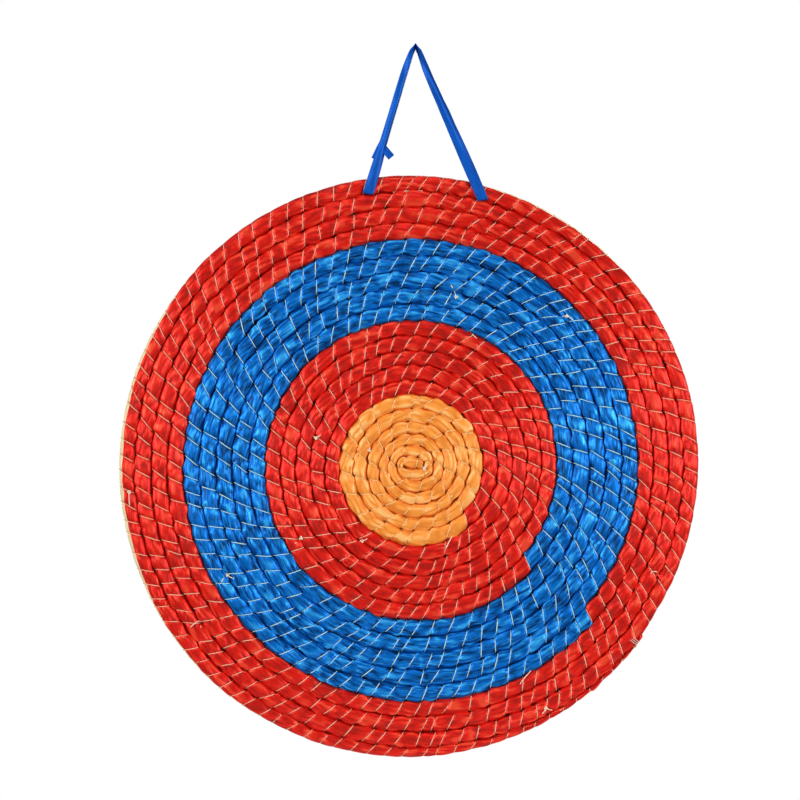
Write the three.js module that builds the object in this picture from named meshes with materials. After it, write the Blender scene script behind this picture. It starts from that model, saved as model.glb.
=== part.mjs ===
// A coiled straw archery target boss on its hanging ribbon.
// Millimetres, +Z up. The face looks to -Y, and the origin is the nail under the ribbon's apex.
import * as THREE from "three";

// The coil, one rope wound from the middle outwards, counter-clockwise seen from the face
const ROPE_DEPTH = 20;
const TURN_GAP = 1.8;
const GOLD_FIRST_PITCH = 9;
const GOLD_LAST_PITCH = 11.95;
const INNER_RED_PITCH = 12.76;
const BLUE_PITCH = 14.12;
const OUTER_RED_PITCH = 13.54;
const GOLD_TURNS = 5.5;
const INNER_RED_TURNS = 5;
const BLUE_TURNS = 5;
const OUTER_RED_TURNS = 4.01;
const START_ANGLE = THREE.MathUtils.degToRad(140);

// The colour changes are centred off the rim's middle: the turns drift there, and back at the rim
const DRIFT_RIGHT = 2.4;
const DRIFT_DOWN = 1.1;
const DRIFT_TURNS = 4;

// The flattened middle, where the rope is doubled back on itself
const FOLD_STRETCH = 6;
const FOLD_FADE_TURNS = 3;
const FOLD_SQUARENESS = 3;
const FOLD_PIVOT_TURN = 0.16;
const FOLD_RIGHT_END = 8.5;
const FOLD_FAN_STEPS = 4;
const FOLD_RUN_STEPS = 4;
const FOLD_LOWER_LAST_TURN = 0.5;
const FOLD_UPPER_FIRST_TURN = 0.64;
const FOLD_UPPER_LAST_TURN = 1.1;

// The rope's tapered outer end
const TAPER_TURNS = 0.265;
const TAPER_WIDTH_SHARE = 0.18;
const TAPER_DEPTH_SHARE = 0.6;

// The rope's section: straw behind, a gathered fabric strip in front
const COVER_REACH = 9.5;
const COVER_CROWN = 0.9;
const COVER_CLEARANCE = 0.3;
const COVER_END_GAP = 0.6;
const FRONT_FLAT_SHARE = 0.35;
const BACK_FLAT_SHARE = 0.6;

// Steps round each turn, more where the coil is wider
const STEPS_BY_TURN = [
  { fromTurn: 0, steps: 12 },
  { fromTurn: 5, steps: 18 },
  { fromTurn: 10.5, steps: 24 },
  { fromTurn: 16.5, steps: 30 },
];

// The hanging ribbon
const RIBBON_WIDTH = 10;
const RIBBON_THICKNESS = 0.6;
const RIBBON_CLEARANCE = 0.3;
const LOOP_RISE = 114;
const APEX_RIGHT_OF_CENTRE = 3;
const NAIL_RADIUS = 1.5;
const LEFT_ENTRY_ANGLE = THREE.MathUtils.degToRad(98.7);
const RIGHT_ENTRY_ANGLE = THREE.MathUtils.degToRad(75.2);
const RIBBON_BEND = 1.2;
const TURN_IN_RUN = 7;
const BACK_DROP = 3;
const BACK_CORNER = 7;
const HINGE_RISE = 3;
const HINGE_SWEEP = 0.1;
const HINGE_CLEARANCE = 0.85;
const TWIST_SHARE = 0.8;
const LEG_STEPS = 12;
const CORNER_STEPS = 3;

// The knot on the left leg, with the ribbon's cut end beside it
const KNOT_RISE = 9;
const KNOT_LENGTH = 15;
const KNOT_WALL = 0.7;
const KNOT_CLEARANCE = 0.3;
const KNOT_END_WIDTH = 5.4;
const KNOT_END_LENGTH = 8;
const KNOT_END_RISE = 6.5;
const KNOT_END_TILT = THREE.MathUtils.degToRad(40);

// The twine round the rope's outer end
const TWINE_DIAMETER = 1;
const TWINE_CLEARANCE = 0.3;
const TWINE_PITCH = 1.8;
const LASHING_LOOPS = 3;
const LASHING_STEPS = 16;
const LASHING_SIDES = 5;
const LASHING_ANGLE = THREE.MathUtils.degToRad(321.5);
const LASHING_SQUARENESS = 3;

const BAND_BACK_SIDE = 2;
const HALVINGS = 30;
const FULL_TURN = 2 * Math.PI;
const QUARTER_TURN = Math.PI / 2;

const straw = new THREE.MeshStandardMaterial({ color: 0xe6cf96, roughness: 0.85, metalness: 0 });
const goldFabric = new THREE.MeshStandardMaterial({ color: 0xfa9b32, roughness: 0.5, metalness: 0 });
const innerRedFabric = new THREE.MeshStandardMaterial({ color: 0xdc2018, roughness: 0.5, metalness: 0 });
const blueFabric = new THREE.MeshStandardMaterial({ color: 0x006ed2, roughness: 0.5, metalness: 0 });
const outerRedFabric = new THREE.MeshStandardMaterial({ color: 0xe0231c, roughness: 0.5, metalness: 0 });
const ribbonFabric = new THREE.MeshStandardMaterial({ color: 0x055ac8, roughness: 0.4, metalness: 0 });
const twine = new THREE.MeshStandardMaterial({ color: 0xe8d2a0, roughness: 0.8, metalness: 0 });

// Depths, from the face backwards
const FACE_Y = RIBBON_THICKNESS / 2 + RIBBON_CLEARANCE;
const BACK_Y = FACE_Y + ROPE_DEPTH;
const RIBBON_BACK_Y = BACK_Y + RIBBON_CLEARANCE + RIBBON_THICKNESS / 2;

// Turns from the middle to each colour change and to the rope's end
const GOLD_END = GOLD_TURNS;
const INNER_RED_END = GOLD_END + INNER_RED_TURNS;
const BLUE_END = INNER_RED_END + BLUE_TURNS;
const ROPE_END = BLUE_END + OUTER_RED_TURNS;

// How far the groove lies from the middle after so many turns
function grooveRadius(turn) {
  const inGold = Math.min(turn, GOLD_END);
  const inInnerRed = THREE.MathUtils.clamp(turn - GOLD_END, 0, INNER_RED_TURNS);
  const inBlue = THREE.MathUtils.clamp(turn - INNER_RED_END, 0, BLUE_TURNS);
  const inOuterRed = Math.max(turn - BLUE_END, 0);
  const goldGrowth = (GOLD_LAST_PITCH - GOLD_FIRST_PITCH) / (2 * GOLD_TURNS);
  const gold = GOLD_FIRST_PITCH * inGold + goldGrowth * inGold * inGold;
  return gold + INNER_RED_PITCH * inInnerRed + BLUE_PITCH * inBlue + OUTER_RED_PITCH * inOuterRed;
}

function turnAngle(turn) {
  return START_ANGLE + FULL_TURN * turn;
}

// How much of the drift has built up, and is left, after so many turns
function driftShare(turn) {
  const out = THREE.MathUtils.smoothstep(turn, 0, DRIFT_TURNS);
  const back = THREE.MathUtils.clamp((turn - BLUE_END) / (OUTER_RED_TURNS + 1), 0, 1);
  return out * (1 - back);
}

// The groove's point in the face, from the coil's middle: a spiral, stretched sideways near the middle
function groovePoint(turn) {
  const angle = turnAngle(turn);
  const radius = grooveRadius(turn);
  const fade = Math.max(1 - turn / FOLD_FADE_TURNS, 0);
  const stretch = FOLD_STRETCH * fade * Math.tanh(FOLD_SQUARENESS * Math.cos(angle));
  const right = DRIFT_RIGHT * driftShare(turn) + stretch;
  const up = -DRIFT_DOWN * driftShare(turn);
  return new THREE.Vector2(radius * Math.cos(angle) + right, radius * Math.sin(angle) + up);
}

// The turn between two turns at which the groove passes a sideways place
function grooveTurnAt(sideways, fromTurn, toTurn) {
  let low = fromTurn;
  let high = toTurn;
  const rising = groovePoint(toTurn).x > groovePoint(fromTurn).x;
  for (let halving = 0; halving < HALVINGS; halving += 1) {
    const middle = (low + high) / 2;
    const short = groovePoint(middle).x < sideways;
    if (short === rising) low = middle;
    else high = middle;
  }
  return (low + high) / 2;
}

// One section across the rope, from its inner groove to its outer groove
function sectionBetween(inner, outer, turn, share) {
  const across = outer.clone().sub(inner);
  const width = across.length() * share.width;
  const direction = across.normalize();
  const innerEdge = inner.clone().addScaledVector(direction, TURN_GAP / 2);
  const outerEdge = inner.clone().addScaledVector(direction, width - TURN_GAP / 2);
  return { turn, innerEdge, outerEdge, depthShare: share.depth };
}

function taperAt(turn) {
  const along = THREE.MathUtils.clamp((turn - (ROPE_END - TAPER_TURNS)) / TAPER_TURNS, 0, 1);
  return {
    width: THREE.MathUtils.lerp(1, TAPER_WIDTH_SHARE, along),
    depth: THREE.MathUtils.lerp(1, TAPER_DEPTH_SHARE, along),
  };
}

function spiralSection(turn) {
  return sectionBetween(groovePoint(turn), groovePoint(turn + 1), turn, taperAt(turn));
}

// The rope's first run lies straight across the middle, and then folds round its own left end
function foldSections() {
  const sections = [];
  const full = { width: 1, depth: 1 };
  const pivot = groovePoint(FOLD_PIVOT_TURN);
  const upperTurnAt = (x) => grooveTurnAt(x, FOLD_UPPER_FIRST_TURN, FOLD_UPPER_LAST_TURN);
  for (let step = 0; step < FOLD_RUN_STEPS; step += 1) {
    const sideways = THREE.MathUtils.lerp(FOLD_RIGHT_END, pivot.x, step / FOLD_RUN_STEPS);
    const lower = groovePoint(grooveTurnAt(sideways, FOLD_PIVOT_TURN, FOLD_LOWER_LAST_TURN));
    const upperTurn = upperTurnAt(sideways);
    sections.push(sectionBetween(lower, groovePoint(upperTurn), upperTurn - 1, full));
  }
  const firstTurn = upperTurnAt(pivot.x);
  const lastTurn = FOLD_PIVOT_TURN + 1;
  for (let step = 0; step < FOLD_FAN_STEPS; step += 1) {
    const turn = THREE.MathUtils.lerp(firstTurn, lastTurn, step / FOLD_FAN_STEPS);
    sections.push(sectionBetween(pivot, groovePoint(turn), turn - 1, full));
  }
  return sections;
}

// The turns at which the rope's facets meet
function ropeTurns() {
  const turns = [FOLD_PIVOT_TURN];
  STEPS_BY_TURN.forEach(({ fromTurn, steps }, index) => {
    const next = STEPS_BY_TURN[index + 1];
    const toTurn = next ? next.fromTurn : ROPE_END;
    for (let step = 0; step < Math.round((toTurn - fromTurn) * steps); step += 1) {
      const turn = fromTurn + step / steps;
      if (turn > FOLD_PIVOT_TURN + 1 / steps / 2) turns.push(turn);
    }
  });
  turns.push(ROPE_END);
  return turns;
}

const ropeSections = [...foldSections(), ...ropeTurns().map(spiralSection)];

// A closed solid through rings of points, whose facets are split the other way on the turned sides
function solidThrough(rings, turnedSides = []) {
  const count = rings[0].length;
  const positions = rings.flat().flatMap((point) => [point.x, point.y, point.z]);
  const faces = [];
  for (let ring = 0; ring + 1 < rings.length; ring += 1) {
    for (let side = 0; side < count; side += 1) {
      const a = ring * count + side;
      const b = ring * count + ((side + 1) % count);
      if (turnedSides.includes(side)) faces.push(a, b, a + count, b, b + count, a + count);
      else faces.push(a, b, b + count, a, b + count, a + count);
    }
  }
  const last = (rings.length - 1) * count;
  const capShape = capTriangles(rings[0]);
  const endShape = capTriangles(rings[rings.length - 1]);
  capShape.forEach(([a, b, c]) => faces.push(a, c, b));
  endShape.forEach(([a, b, c]) => faces.push(last + a, last + b, last + c));
  const geometry = new THREE.BufferGeometry();
  geometry.setAttribute("position", new THREE.Float32BufferAttribute(positions, 3));
  geometry.setIndex(faces);
  return facingOut(geometry);
}

// An end face's triangles, found in the ring's own plane
function capTriangles(ring) {
  const normal = new THREE.Vector3();
  ring.forEach((point, index) => {
    const next = ring[(index + 1) % ring.length];
    normal.add(new THREE.Vector3().crossVectors(point, next));
  });
  normal.normalize();
  const along = ring[1].clone().sub(ring[0]).normalize();
  const across = new THREE.Vector3().crossVectors(normal, along);
  const flat = ring.map((point) => new THREE.Vector2(point.dot(along), point.dot(across)));
  return THREE.ShapeUtils.triangulateShape(flat, []);
}

function signedVolume(geometry) {
  const place = geometry.getAttribute("position");
  const index = geometry.getIndex();
  const corner = [new THREE.Vector3(), new THREE.Vector3(), new THREE.Vector3()];
  let volume = 0;
  for (let face = 0; face < index.count; face += 3) {
    corner.forEach((point, which) => point.fromBufferAttribute(place, index.getX(face + which)));
    volume += corner[0].dot(new THREE.Vector3().crossVectors(corner[1], corner[2])) / 6;
  }
  return volume;
}

function facingOut(geometry) {
  if (signedVolume(geometry) < 0) {
    const index = geometry.getIndex();
    for (let face = 0; face < index.count; face += 3) {
      const second = index.getX(face + 1);
      index.setX(face + 1, index.getX(face + 2));
      index.setX(face + 2, second);
    }
  }
  geometry.computeVertexNormals();
  return geometry;
}

// The last turn of the rope that passes an angle
function lastTurnAt(angle) {
  const share = (angle - START_ANGLE) / FULL_TURN;
  return share + Math.floor(ROPE_END - share);
}

// The coil's middle, below the nail by the loop's rise and the rim's height there
const RIM_RISE = groovePoint(lastTurnAt(QUARTER_TURN) + 1).y - TURN_GAP / 2;
const CENTRE = new THREE.Vector2(-APEX_RIGHT_OF_CENTRE, -(LOOP_RISE + RIM_RISE));

// A ring of points across the rope, from shares across it and depths behind the face
function ringAcross(section, outline) {
  const middle = section.innerEdge.clone().add(section.outerEdge).multiplyScalar(0.5);
  const halfWidth = section.outerEdge.clone().sub(section.innerEdge).multiplyScalar(0.5);
  return outline.map(([share, depth]) => {
    const inFace = middle.clone().addScaledVector(halfWidth, share).add(CENTRE);
    const shrunk = ROPE_DEPTH / 2 + (depth - ROPE_DEPTH / 2) * section.depthShare;
    return new THREE.Vector3(inFace.x, FACE_Y + shrunk, inFace.y);
  });
}

// How far behind the cover the straw lies, measured front to back, where the two slope together
function strawSetback(section) {
  const halfWidth = section.outerEdge.distanceTo(section.innerEdge) / 2;
  const slope = (COVER_REACH - COVER_CROWN) * section.depthShare;
  return (COVER_CLEARANCE * Math.hypot(halfWidth, slope)) / halfWidth / section.depthShare;
}

function strawOutline(section) {
  const setback = strawSetback(section);
  return [
    [-1, COVER_REACH + setback],
    [0, COVER_CROWN + setback],
    [1, COVER_REACH + setback],
    [BACK_FLAT_SHARE, ROPE_DEPTH],
    [-BACK_FLAT_SHARE, ROPE_DEPTH],
  ];
}

function coverOutline() {
  return [
    [-1, COVER_REACH],
    [0, COVER_CROWN],
    [1, COVER_REACH],
    [FRONT_FLAT_SHARE, 0],
    [-FRONT_FLAT_SHARE, 0],
  ];
}

function strawRope() {
  return solidThrough(ropeSections.map((section) => ringAcross(section, strawOutline(section))));
}

// A section part way between two facets' sections
function sectionAt(turn) {
  const next = ropeSections.findIndex((section) => section.turn > turn);
  const before = ropeSections[next - 1];
  const after = ropeSections[next];
  const share = (turn - before.turn) / (after.turn - before.turn);
  return {
    turn,
    innerEdge: before.innerEdge.clone().lerp(after.innerEdge, share),
    outerEdge: before.outerEdge.clone().lerp(after.outerEdge, share),
    depthShare: THREE.MathUtils.lerp(before.depthShare, after.depthShare, share),
  };
}

// The fabric strip over the rope between two colour changes
function coverStrip(fromTurn, toTurn) {
  const endGapTurns = (turn) => COVER_END_GAP / 2 / (FULL_TURN * grooveRadius(turn));
  const sections = ropeSections.filter(({ turn }) => turn >= fromTurn && turn <= toTurn);
  const isFirst = fromTurn <= ropeSections[0].turn;
  const isLast = toTurn >= ROPE_END;
  if (!isFirst) sections[0] = sectionAt(fromTurn + endGapTurns(fromTurn));
  if (!isLast) sections[sections.length - 1] = sectionAt(toTurn - endGapTurns(toTurn));
  return solidThrough(sections.map((section) => ringAcross(section, coverOutline())));
}

// A flat band through stations, each with a centre, a direction across and a direction through
function band(stations, width, thickness, turnedSides = []) {
  const rings = stations.map(({ centre, across, through }) => {
    const corner = (acrossSign, throughSign) =>
      centre
        .clone()
        .addScaledVector(across, (acrossSign * width) / 2)
        .addScaledVector(through, (throughSign * thickness) / 2);
    return [corner(-1, -1), corner(1, -1), corner(1, 1), corner(-1, 1)];
  });
  return solidThrough(rings, turnedSides);
}

// Where the ribbon goes into the groove, on the straight facet at an angle
function grooveEntry(angle) {
  const steps = STEPS_BY_TURN[STEPS_BY_TURN.length - 1].steps;
  const facet = lastTurnAt(angle) * steps;
  const before = groovePoint(Math.floor(facet) / steps);
  const after = groovePoint(Math.ceil(facet) / steps);
  const middle = before.clone().lerp(after, facet - Math.floor(facet)).add(CENTRE);
  const along = before.sub(after).normalize();
  return {
    centre: new THREE.Vector3(middle.x, 0, middle.y),
    across: new THREE.Vector3(along.x, 0, along.y),
  };
}

const leftEntry = grooveEntry(LEFT_ENTRY_ANGLE);
const rightEntry = grooveEntry(RIGHT_ENTRY_ANGLE);
const HINGE_Z = -LOOP_RISE + HINGE_RISE;
const BACKWARD = new THREE.Vector3(0, 1, 0);
const RIGHT = new THREE.Vector3(1, 0, 0);
const DOWN = new THREE.Vector3(0, 0, -1);
const UP = new THREE.Vector3(0, 0, 1);
const NAIL_CENTRE = new THREE.Vector3(0, 0, -NAIL_RADIUS);
const NAIL_BEND = NAIL_RADIUS + RIBBON_THICKNESS / 2;

// One station of a band, from its centre, the way that it runs and the direction across it
function station(centre, forward, across) {
  const through = new THREE.Vector3().crossVectors(forward, across).normalize();
  return { centre, across: across.clone(), through };
}

// A station cut level, so that both ends at the hinge line are parallel to it
function levelStation(centre, forward, leg) {
  const across = RIGHT.clone().multiplyScalar(1 / leg.up.z);
  const facing = Math.sign(station(centre, forward, across).through.y);
  return { centre, across, through: BACKWARD.clone().multiplyScalar(facing) };
}

// A straight leg from the groove to the nail, with its direction up and the direction across it
function legOf(entry, side) {
  const toNail = NAIL_CENTRE.clone().sub(entry.centre);
  const lean = Math.asin(NAIL_BEND / toNail.length());
  const up = toNail.clone().normalize().applyAxisAngle(BACKWARD, side * lean);
  const across = new THREE.Vector3(up.z, 0, -up.x);
  const top = entry.centre.clone().addScaledVector(up, toNail.length() * Math.cos(lean));
  const atHeight = (z) => entry.centre.clone().addScaledVector(up, (z - entry.centre.z) / up.z);
  return { entry, up, across, top, atHeight };
}

const leftLeg = legOf(leftEntry, -1);
const rightLeg = legOf(rightEntry, 1);

// A leg's stations from the hinge line up, face on below and turned edge on towards the nail
function legStations(leg, forward) {
  const bottom = leg.atHeight(HINGE_Z + HINGE_SWEEP);
  const stations = [levelStation(bottom, forward, leg)];
  for (let step = 1; step <= LEG_STEPS; step += 1) {
    const share = step / LEG_STEPS;
    const twisted = Math.max(share - (1 - TWIST_SHARE), 0) / TWIST_SHARE;
    const across = leg.across.clone().applyAxisAngle(leg.up, twisted * QUARTER_TURN);
    stations.push(station(bottom.clone().lerp(leg.top, share), forward, across));
  }
  return stations;
}

function hangingRibbon() {
  const left = legStations(leftLeg, leftLeg.up);
  const right = legStations(rightLeg, rightLeg.up.clone().negate()).reverse();
  const angleOf = ({ top }) => Math.atan2(top.z - NAIL_CENTRE.z, top.x - NAIL_CENTRE.x);
  const overNail = [];
  for (let step = 1; step < CORNER_STEPS; step += 1) {
    const angle = THREE.MathUtils.lerp(angleOf(leftLeg), angleOf(rightLeg), step / CORNER_STEPS);
    const outward = new THREE.Vector3(Math.cos(angle), 0, Math.sin(angle));
    const forward = new THREE.Vector3(outward.z, 0, -outward.x);
    overNail.push(station(NAIL_CENTRE.clone().addScaledVector(outward, NAIL_BEND), forward, BACKWARD));
  }
  // Its two broad sides are split alike, so that it keeps its thickness where it twists
  return band([...left, ...overNail, ...right], RIBBON_WIDTH, RIBBON_THICKNESS, [BAND_BACK_SIDE]);
}

// A quarter bend between two directions, about an axis square to both
function bendStations(corner, from, to, across, radius) {
  const stations = [];
  const middle = corner.clone().addScaledVector(from, -radius).addScaledVector(to, radius);
  for (let step = 0; step <= CORNER_STEPS - 1; step += 1) {
    const angle = (QUARTER_TURN * step) / (CORNER_STEPS - 1);
    const forward = from.clone().multiplyScalar(Math.cos(angle)).addScaledVector(to, Math.sin(angle));
    const outward = from.clone().multiplyScalar(Math.sin(angle)).addScaledVector(to, -Math.cos(angle));
    stations.push(station(middle.clone().addScaledVector(outward, radius), forward, across));
  }
  return stations;
}

// One side of the ribbon in the boss: from the hinge line down the face, through the groove, to the back
function throughGroove(leg) {
  const { entry } = leg;
  const inward = new THREE.Vector3().crossVectors(BACKWARD, entry.across).negate();
  inward.multiplyScalar(Math.sign(-inward.z));
  const down = leg.up.clone().negate();
  const backCorner = entry.centre.clone().setY(RIBBON_BACK_Y);
  return [
    levelStation(leg.atHeight(HINGE_Z - HINGE_CLEARANCE), down, leg),
    station(leg.atHeight(entry.centre.z + TURN_IN_RUN), down, leg.across),
    ...bendStations(entry.centre, inward, BACKWARD, entry.across, RIBBON_BEND),
    ...bendStations(backCorner, BACKWARD, inward, entry.across, RIBBON_BEND),
  ];
}

// The ribbon's run behind the boss, from one groove to the other
function ribbonBackRun() {
  const left = throughGroove(leftLeg);
  const right = throughGroove(rightLeg).reverse();
  right.forEach(({ across }) => across.negate());
  const lowest = Math.min(leftEntry.centre.z, rightEntry.centre.z);
  const runZ = lowest - RIBBON_BEND - BACK_DROP - BACK_CORNER;
  const leftCorner = new THREE.Vector3(leftEntry.centre.x, RIBBON_BACK_Y, runZ);
  const rightCorner = new THREE.Vector3(rightEntry.centre.x, RIBBON_BACK_Y, runZ);
  const along = [...cornerStations(leftCorner, DOWN, RIGHT), ...cornerStations(rightCorner, RIGHT, UP)];
  return band([...left, ...along, ...right], RIBBON_WIDTH, RIBBON_THICKNESS);
}

// A flat corner in the plane of the back, where the ribbon's width turns with it
function cornerStations(corner, from, to) {
  return bendStations(corner, from, to, RIGHT, BACK_CORNER).map(({ centre }, step) => {
    const angle = (QUARTER_TURN * step) / (CORNER_STEPS - 1);
    const forward = from.clone().multiplyScalar(Math.cos(angle)).addScaledVector(to, Math.sin(angle));
    return station(centre, forward, new THREE.Vector3().crossVectors(forward, BACKWARD));
  });
}

// The knot: a flat wrap of ribbon round the left leg, in the leg's own frame
function legFrame(leg, height) {
  const place = new THREE.Matrix4().makeBasis(leg.across, BACKWARD, leg.up);
  return place.setPosition(leg.atHeight(height));
}

function flatOutline(width, depth, shape) {
  const [x, y] = [width / 2, depth / 2];
  shape.moveTo(-x, -y);
  shape.lineTo(x, -y);
  shape.lineTo(x, y);
  shape.lineTo(-x, y);
  shape.closePath();
  return shape;
}

const KNOT_BORE_WIDTH = RIBBON_WIDTH + 2 * KNOT_CLEARANCE;
const KNOT_BORE_DEPTH = RIBBON_THICKNESS + 2 * KNOT_CLEARANCE;
const KNOT_HALF_WIDTH = KNOT_BORE_WIDTH / 2 + KNOT_WALL;

function ribbonKnot() {
  const outer = flatOutline(2 * KNOT_HALF_WIDTH, KNOT_BORE_DEPTH + 2 * KNOT_WALL, new THREE.Shape());
  outer.holes.push(flatOutline(KNOT_BORE_WIDTH, KNOT_BORE_DEPTH, new THREE.Path()));
  return new THREE.ExtrudeGeometry(outer, { depth: KNOT_LENGTH, bevelEnabled: false });
}

// The cut end that stands out of the knot, slanting down and away
function ribbonEnd() {
  const forward = new THREE.Vector3(Math.cos(KNOT_END_TILT), 0, -Math.sin(KNOT_END_TILT));
  const across = new THREE.Vector3(forward.z, 0, -forward.x);
  const rootX = KNOT_HALF_WIDTH + KNOT_CLEARANCE;
  const root = new THREE.Vector3(rootX, 0, KNOT_END_RISE);
  const rootAcross = new THREE.Vector3(0, 0, -1 / Math.cos(KNOT_END_TILT));
  const square = station(root, forward, rootAcross);
  const tip = station(root.clone().addScaledVector(forward, KNOT_END_LENGTH), forward, across);
  return band([square, tip], KNOT_END_WIDTH, RIBBON_THICKNESS);
}

// The twine wound round the rope's end and the turn beside it, one unbroken helix of flattened loops
function lashingPath() {
  const turn = lastTurnAt(LASHING_ANGLE);
  const end = sectionAt(turn);
  const beside = sectionAt(turn - 1);
  const radial = end.outerEdge.clone().sub(beside.innerEdge).normalize();
  const inner = beside.innerEdge.clone().addScaledVector(radial, -TURN_GAP / 2);
  const outer = end.outerEdge.clone().addScaledVector(radial, TWINE_CLEARANCE + TWINE_DIAMETER / 2);
  const middle = inner.clone().add(outer).multiplyScalar(0.5).add(CENTRE);
  const halfAcross = outer.distanceTo(inner) / 2;
  const halfDepth = ROPE_DEPTH / 2 + TWINE_CLEARANCE + TWINE_DIAMETER / 2;
  const outward = new THREE.Vector3(radial.x, 0, radial.y);
  const alongRope = new THREE.Vector3(-radial.y, 0, radial.x);
  const centre = new THREE.Vector3(middle.x, FACE_Y + ROPE_DEPTH / 2, middle.y);
  const flattened = (value) => Math.sign(value) * Math.abs(value) ** (1 / LASHING_SQUARENESS);
  const points = [];
  for (let step = 0; step <= LASHING_LOOPS * LASHING_STEPS; step += 1) {
    const loops = step / LASHING_STEPS;
    const angle = FULL_TURN * loops;
    const side = outward.clone().multiplyScalar(halfAcross * flattened(Math.cos(angle)));
    side.addScaledVector(BACKWARD, halfDepth * flattened(Math.sin(angle)));
    const advance = (loops - LASHING_LOOPS / 2) * TWINE_PITCH;
    points.push(centre.clone().add(side).addScaledVector(alongRope, advance));
  }
  return { points, alongRope };
}

function endLashing({ points, alongRope }) {
  const rings = points.map((point, step) => {
    const before = points[Math.max(step - 1, 0)];
    const after = points[Math.min(step + 1, points.length - 1)];
    const forward = after.clone().sub(before).normalize();
    const outward = new THREE.Vector3().crossVectors(forward, alongRope).normalize();
    const sideways = new THREE.Vector3().crossVectors(outward, forward);
    return Array.from({ length: LASHING_SIDES }, (_, side) => {
      const angle = (FULL_TURN * side) / LASHING_SIDES;
      return point
        .clone()
        .addScaledVector(outward, (TWINE_DIAMETER / 2) * Math.cos(angle))
        .addScaledVector(sideways, (TWINE_DIAMETER / 2) * Math.sin(angle));
    });
  });
  return solidThrough(rings);
}

// The least gap between neighbouring turns of the coil, measured on points along both edges
function leastCoilGap() {
  const along = (key) =>
    ropeSections.slice(0, -1).flatMap((section, index) => {
      const next = ropeSections[index + 1];
      return [0, 1 / 4, 1 / 2, 3 / 4].map((share) => ({
        turn: THREE.MathUtils.lerp(section.turn, next.turn, share),
        point: section[key].clone().lerp(next[key], share),
      }));
    });
  const inner = along("innerEdge");
  let least = Infinity;
  along("outerEdge").forEach(({ turn, point }) => {
    inner.forEach((other) => {
      const oneTurnOn = other.turn - turn > 1 / 2 && other.turn - turn < 3 / 2;
      if (oneTurnOn) least = Math.min(least, point.distanceTo(other.point));
    });
  });
  return least;
}

// The least gap between loops of the lashing
function leastLashingGap({ points }) {
  let least = Infinity;
  points.forEach((point, step) => {
    points.slice(step + LASHING_STEPS / 2).forEach((other) => {
      least = Math.min(least, point.distanceTo(other) - TWINE_DIAMETER);
    });
  });
  return least;
}

const lashing = lashingPath();
console.log(`least gap between the coil's turns: ${leastCoilGap().toFixed(2)} mm`);
console.log(`least gap between the lashing's loops: ${leastLashingGap(lashing).toFixed(2)} mm`);

const group = new THREE.Group();

function addPiece(name, geometry, material, place) {
  const mesh = new THREE.Mesh(geometry, material);
  mesh.name = name;
  if (place) place.decompose(mesh.position, mesh.quaternion, mesh.scale);
  group.add(mesh);
}

const knotPlace = legFrame(leftLeg, HINGE_Z + KNOT_RISE);
addPiece("straw_rope", strawRope(), straw);
addPiece("gold_cover", coverStrip(ropeSections[0].turn, GOLD_END), goldFabric);
addPiece("inner_red_cover", coverStrip(GOLD_END, INNER_RED_END), innerRedFabric);
addPiece("blue_cover", coverStrip(INNER_RED_END, BLUE_END), blueFabric);
addPiece("outer_red_cover", coverStrip(BLUE_END, ROPE_END), outerRedFabric);
addPiece("end_lashing", endLashing(lashing), twine);
addPiece("hanging_ribbon", hangingRibbon(), ribbonFabric);
addPiece("ribbon_knot", ribbonKnot(), ribbonFabric, knotPlace);
addPiece("ribbon_end", ribbonEnd(), ribbonFabric, knotPlace);
addPiece("ribbon_back_run", ribbonBackRun(), ribbonFabric);

export default group;
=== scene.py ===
"""An archery target boss: one straw rope wound into a disc, covered with cloth strips and sewn with twine.

It hangs on a blue ribbon that runs through the groove inside its outermost turn and is knotted on the left.
Metres, +Z up, with the face towards -Y and the nail under the ribbon's apex at the origin.
"""

import math
from functools import cache

import bmesh
import bpy
import numpy as np
from bpy.props import FloatProperty, FloatVectorProperty, PointerProperty
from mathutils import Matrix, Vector


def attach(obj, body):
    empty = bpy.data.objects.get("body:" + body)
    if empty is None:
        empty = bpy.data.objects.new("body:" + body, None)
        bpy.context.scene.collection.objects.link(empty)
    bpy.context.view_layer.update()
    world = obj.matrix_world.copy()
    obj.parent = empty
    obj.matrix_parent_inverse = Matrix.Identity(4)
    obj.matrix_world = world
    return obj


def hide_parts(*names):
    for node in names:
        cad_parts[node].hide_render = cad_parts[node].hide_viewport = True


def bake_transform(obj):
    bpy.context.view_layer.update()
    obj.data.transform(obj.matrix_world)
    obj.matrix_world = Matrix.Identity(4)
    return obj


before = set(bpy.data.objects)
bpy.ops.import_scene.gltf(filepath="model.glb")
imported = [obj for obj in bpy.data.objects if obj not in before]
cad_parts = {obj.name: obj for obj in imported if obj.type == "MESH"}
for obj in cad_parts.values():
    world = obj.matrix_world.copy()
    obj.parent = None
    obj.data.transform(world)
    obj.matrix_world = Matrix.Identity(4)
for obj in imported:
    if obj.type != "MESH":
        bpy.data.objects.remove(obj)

bl_info = {
    "name": "Archery target boss",
    "version": (1, 0, 0),
    "blender": (4, 5, 0),
    "location": "View3D > Sidebar > Boss",
    "description": "Builds a coiled straw archery target boss on its hanging ribbon",
    "category": "Add Mesh",
}

MM = 0.001
FULL_TURN = 2 * math.pi
TINY, NEAR_ZERO = 1e-6, 1e-12
COLOURS = ("gold", "inner_red", "blue", "outer_red")
RIGHT, BACKWARD, UPWARD = np.eye(3)


def linear(code):
    """A colour written as sRGB hex, as the linear red, green and blue that Blender's sockets take."""
    parts = [int(code[k : k + 2], 16) / 255 for k in (1, 3, 5)]
    return [p / 12.92 if p <= 0.04045 else ((p + 0.055) / 1.055) ** 2.4 for p in parts]


def number(name, default, description, **kind):
    return FloatProperty(name=name, description=description, default=default, **kind)


def length(*words):
    return number(*words, unit="LENGTH", precision=5)


def share(*words):
    return number(*words, subtype="FACTOR")


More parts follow.
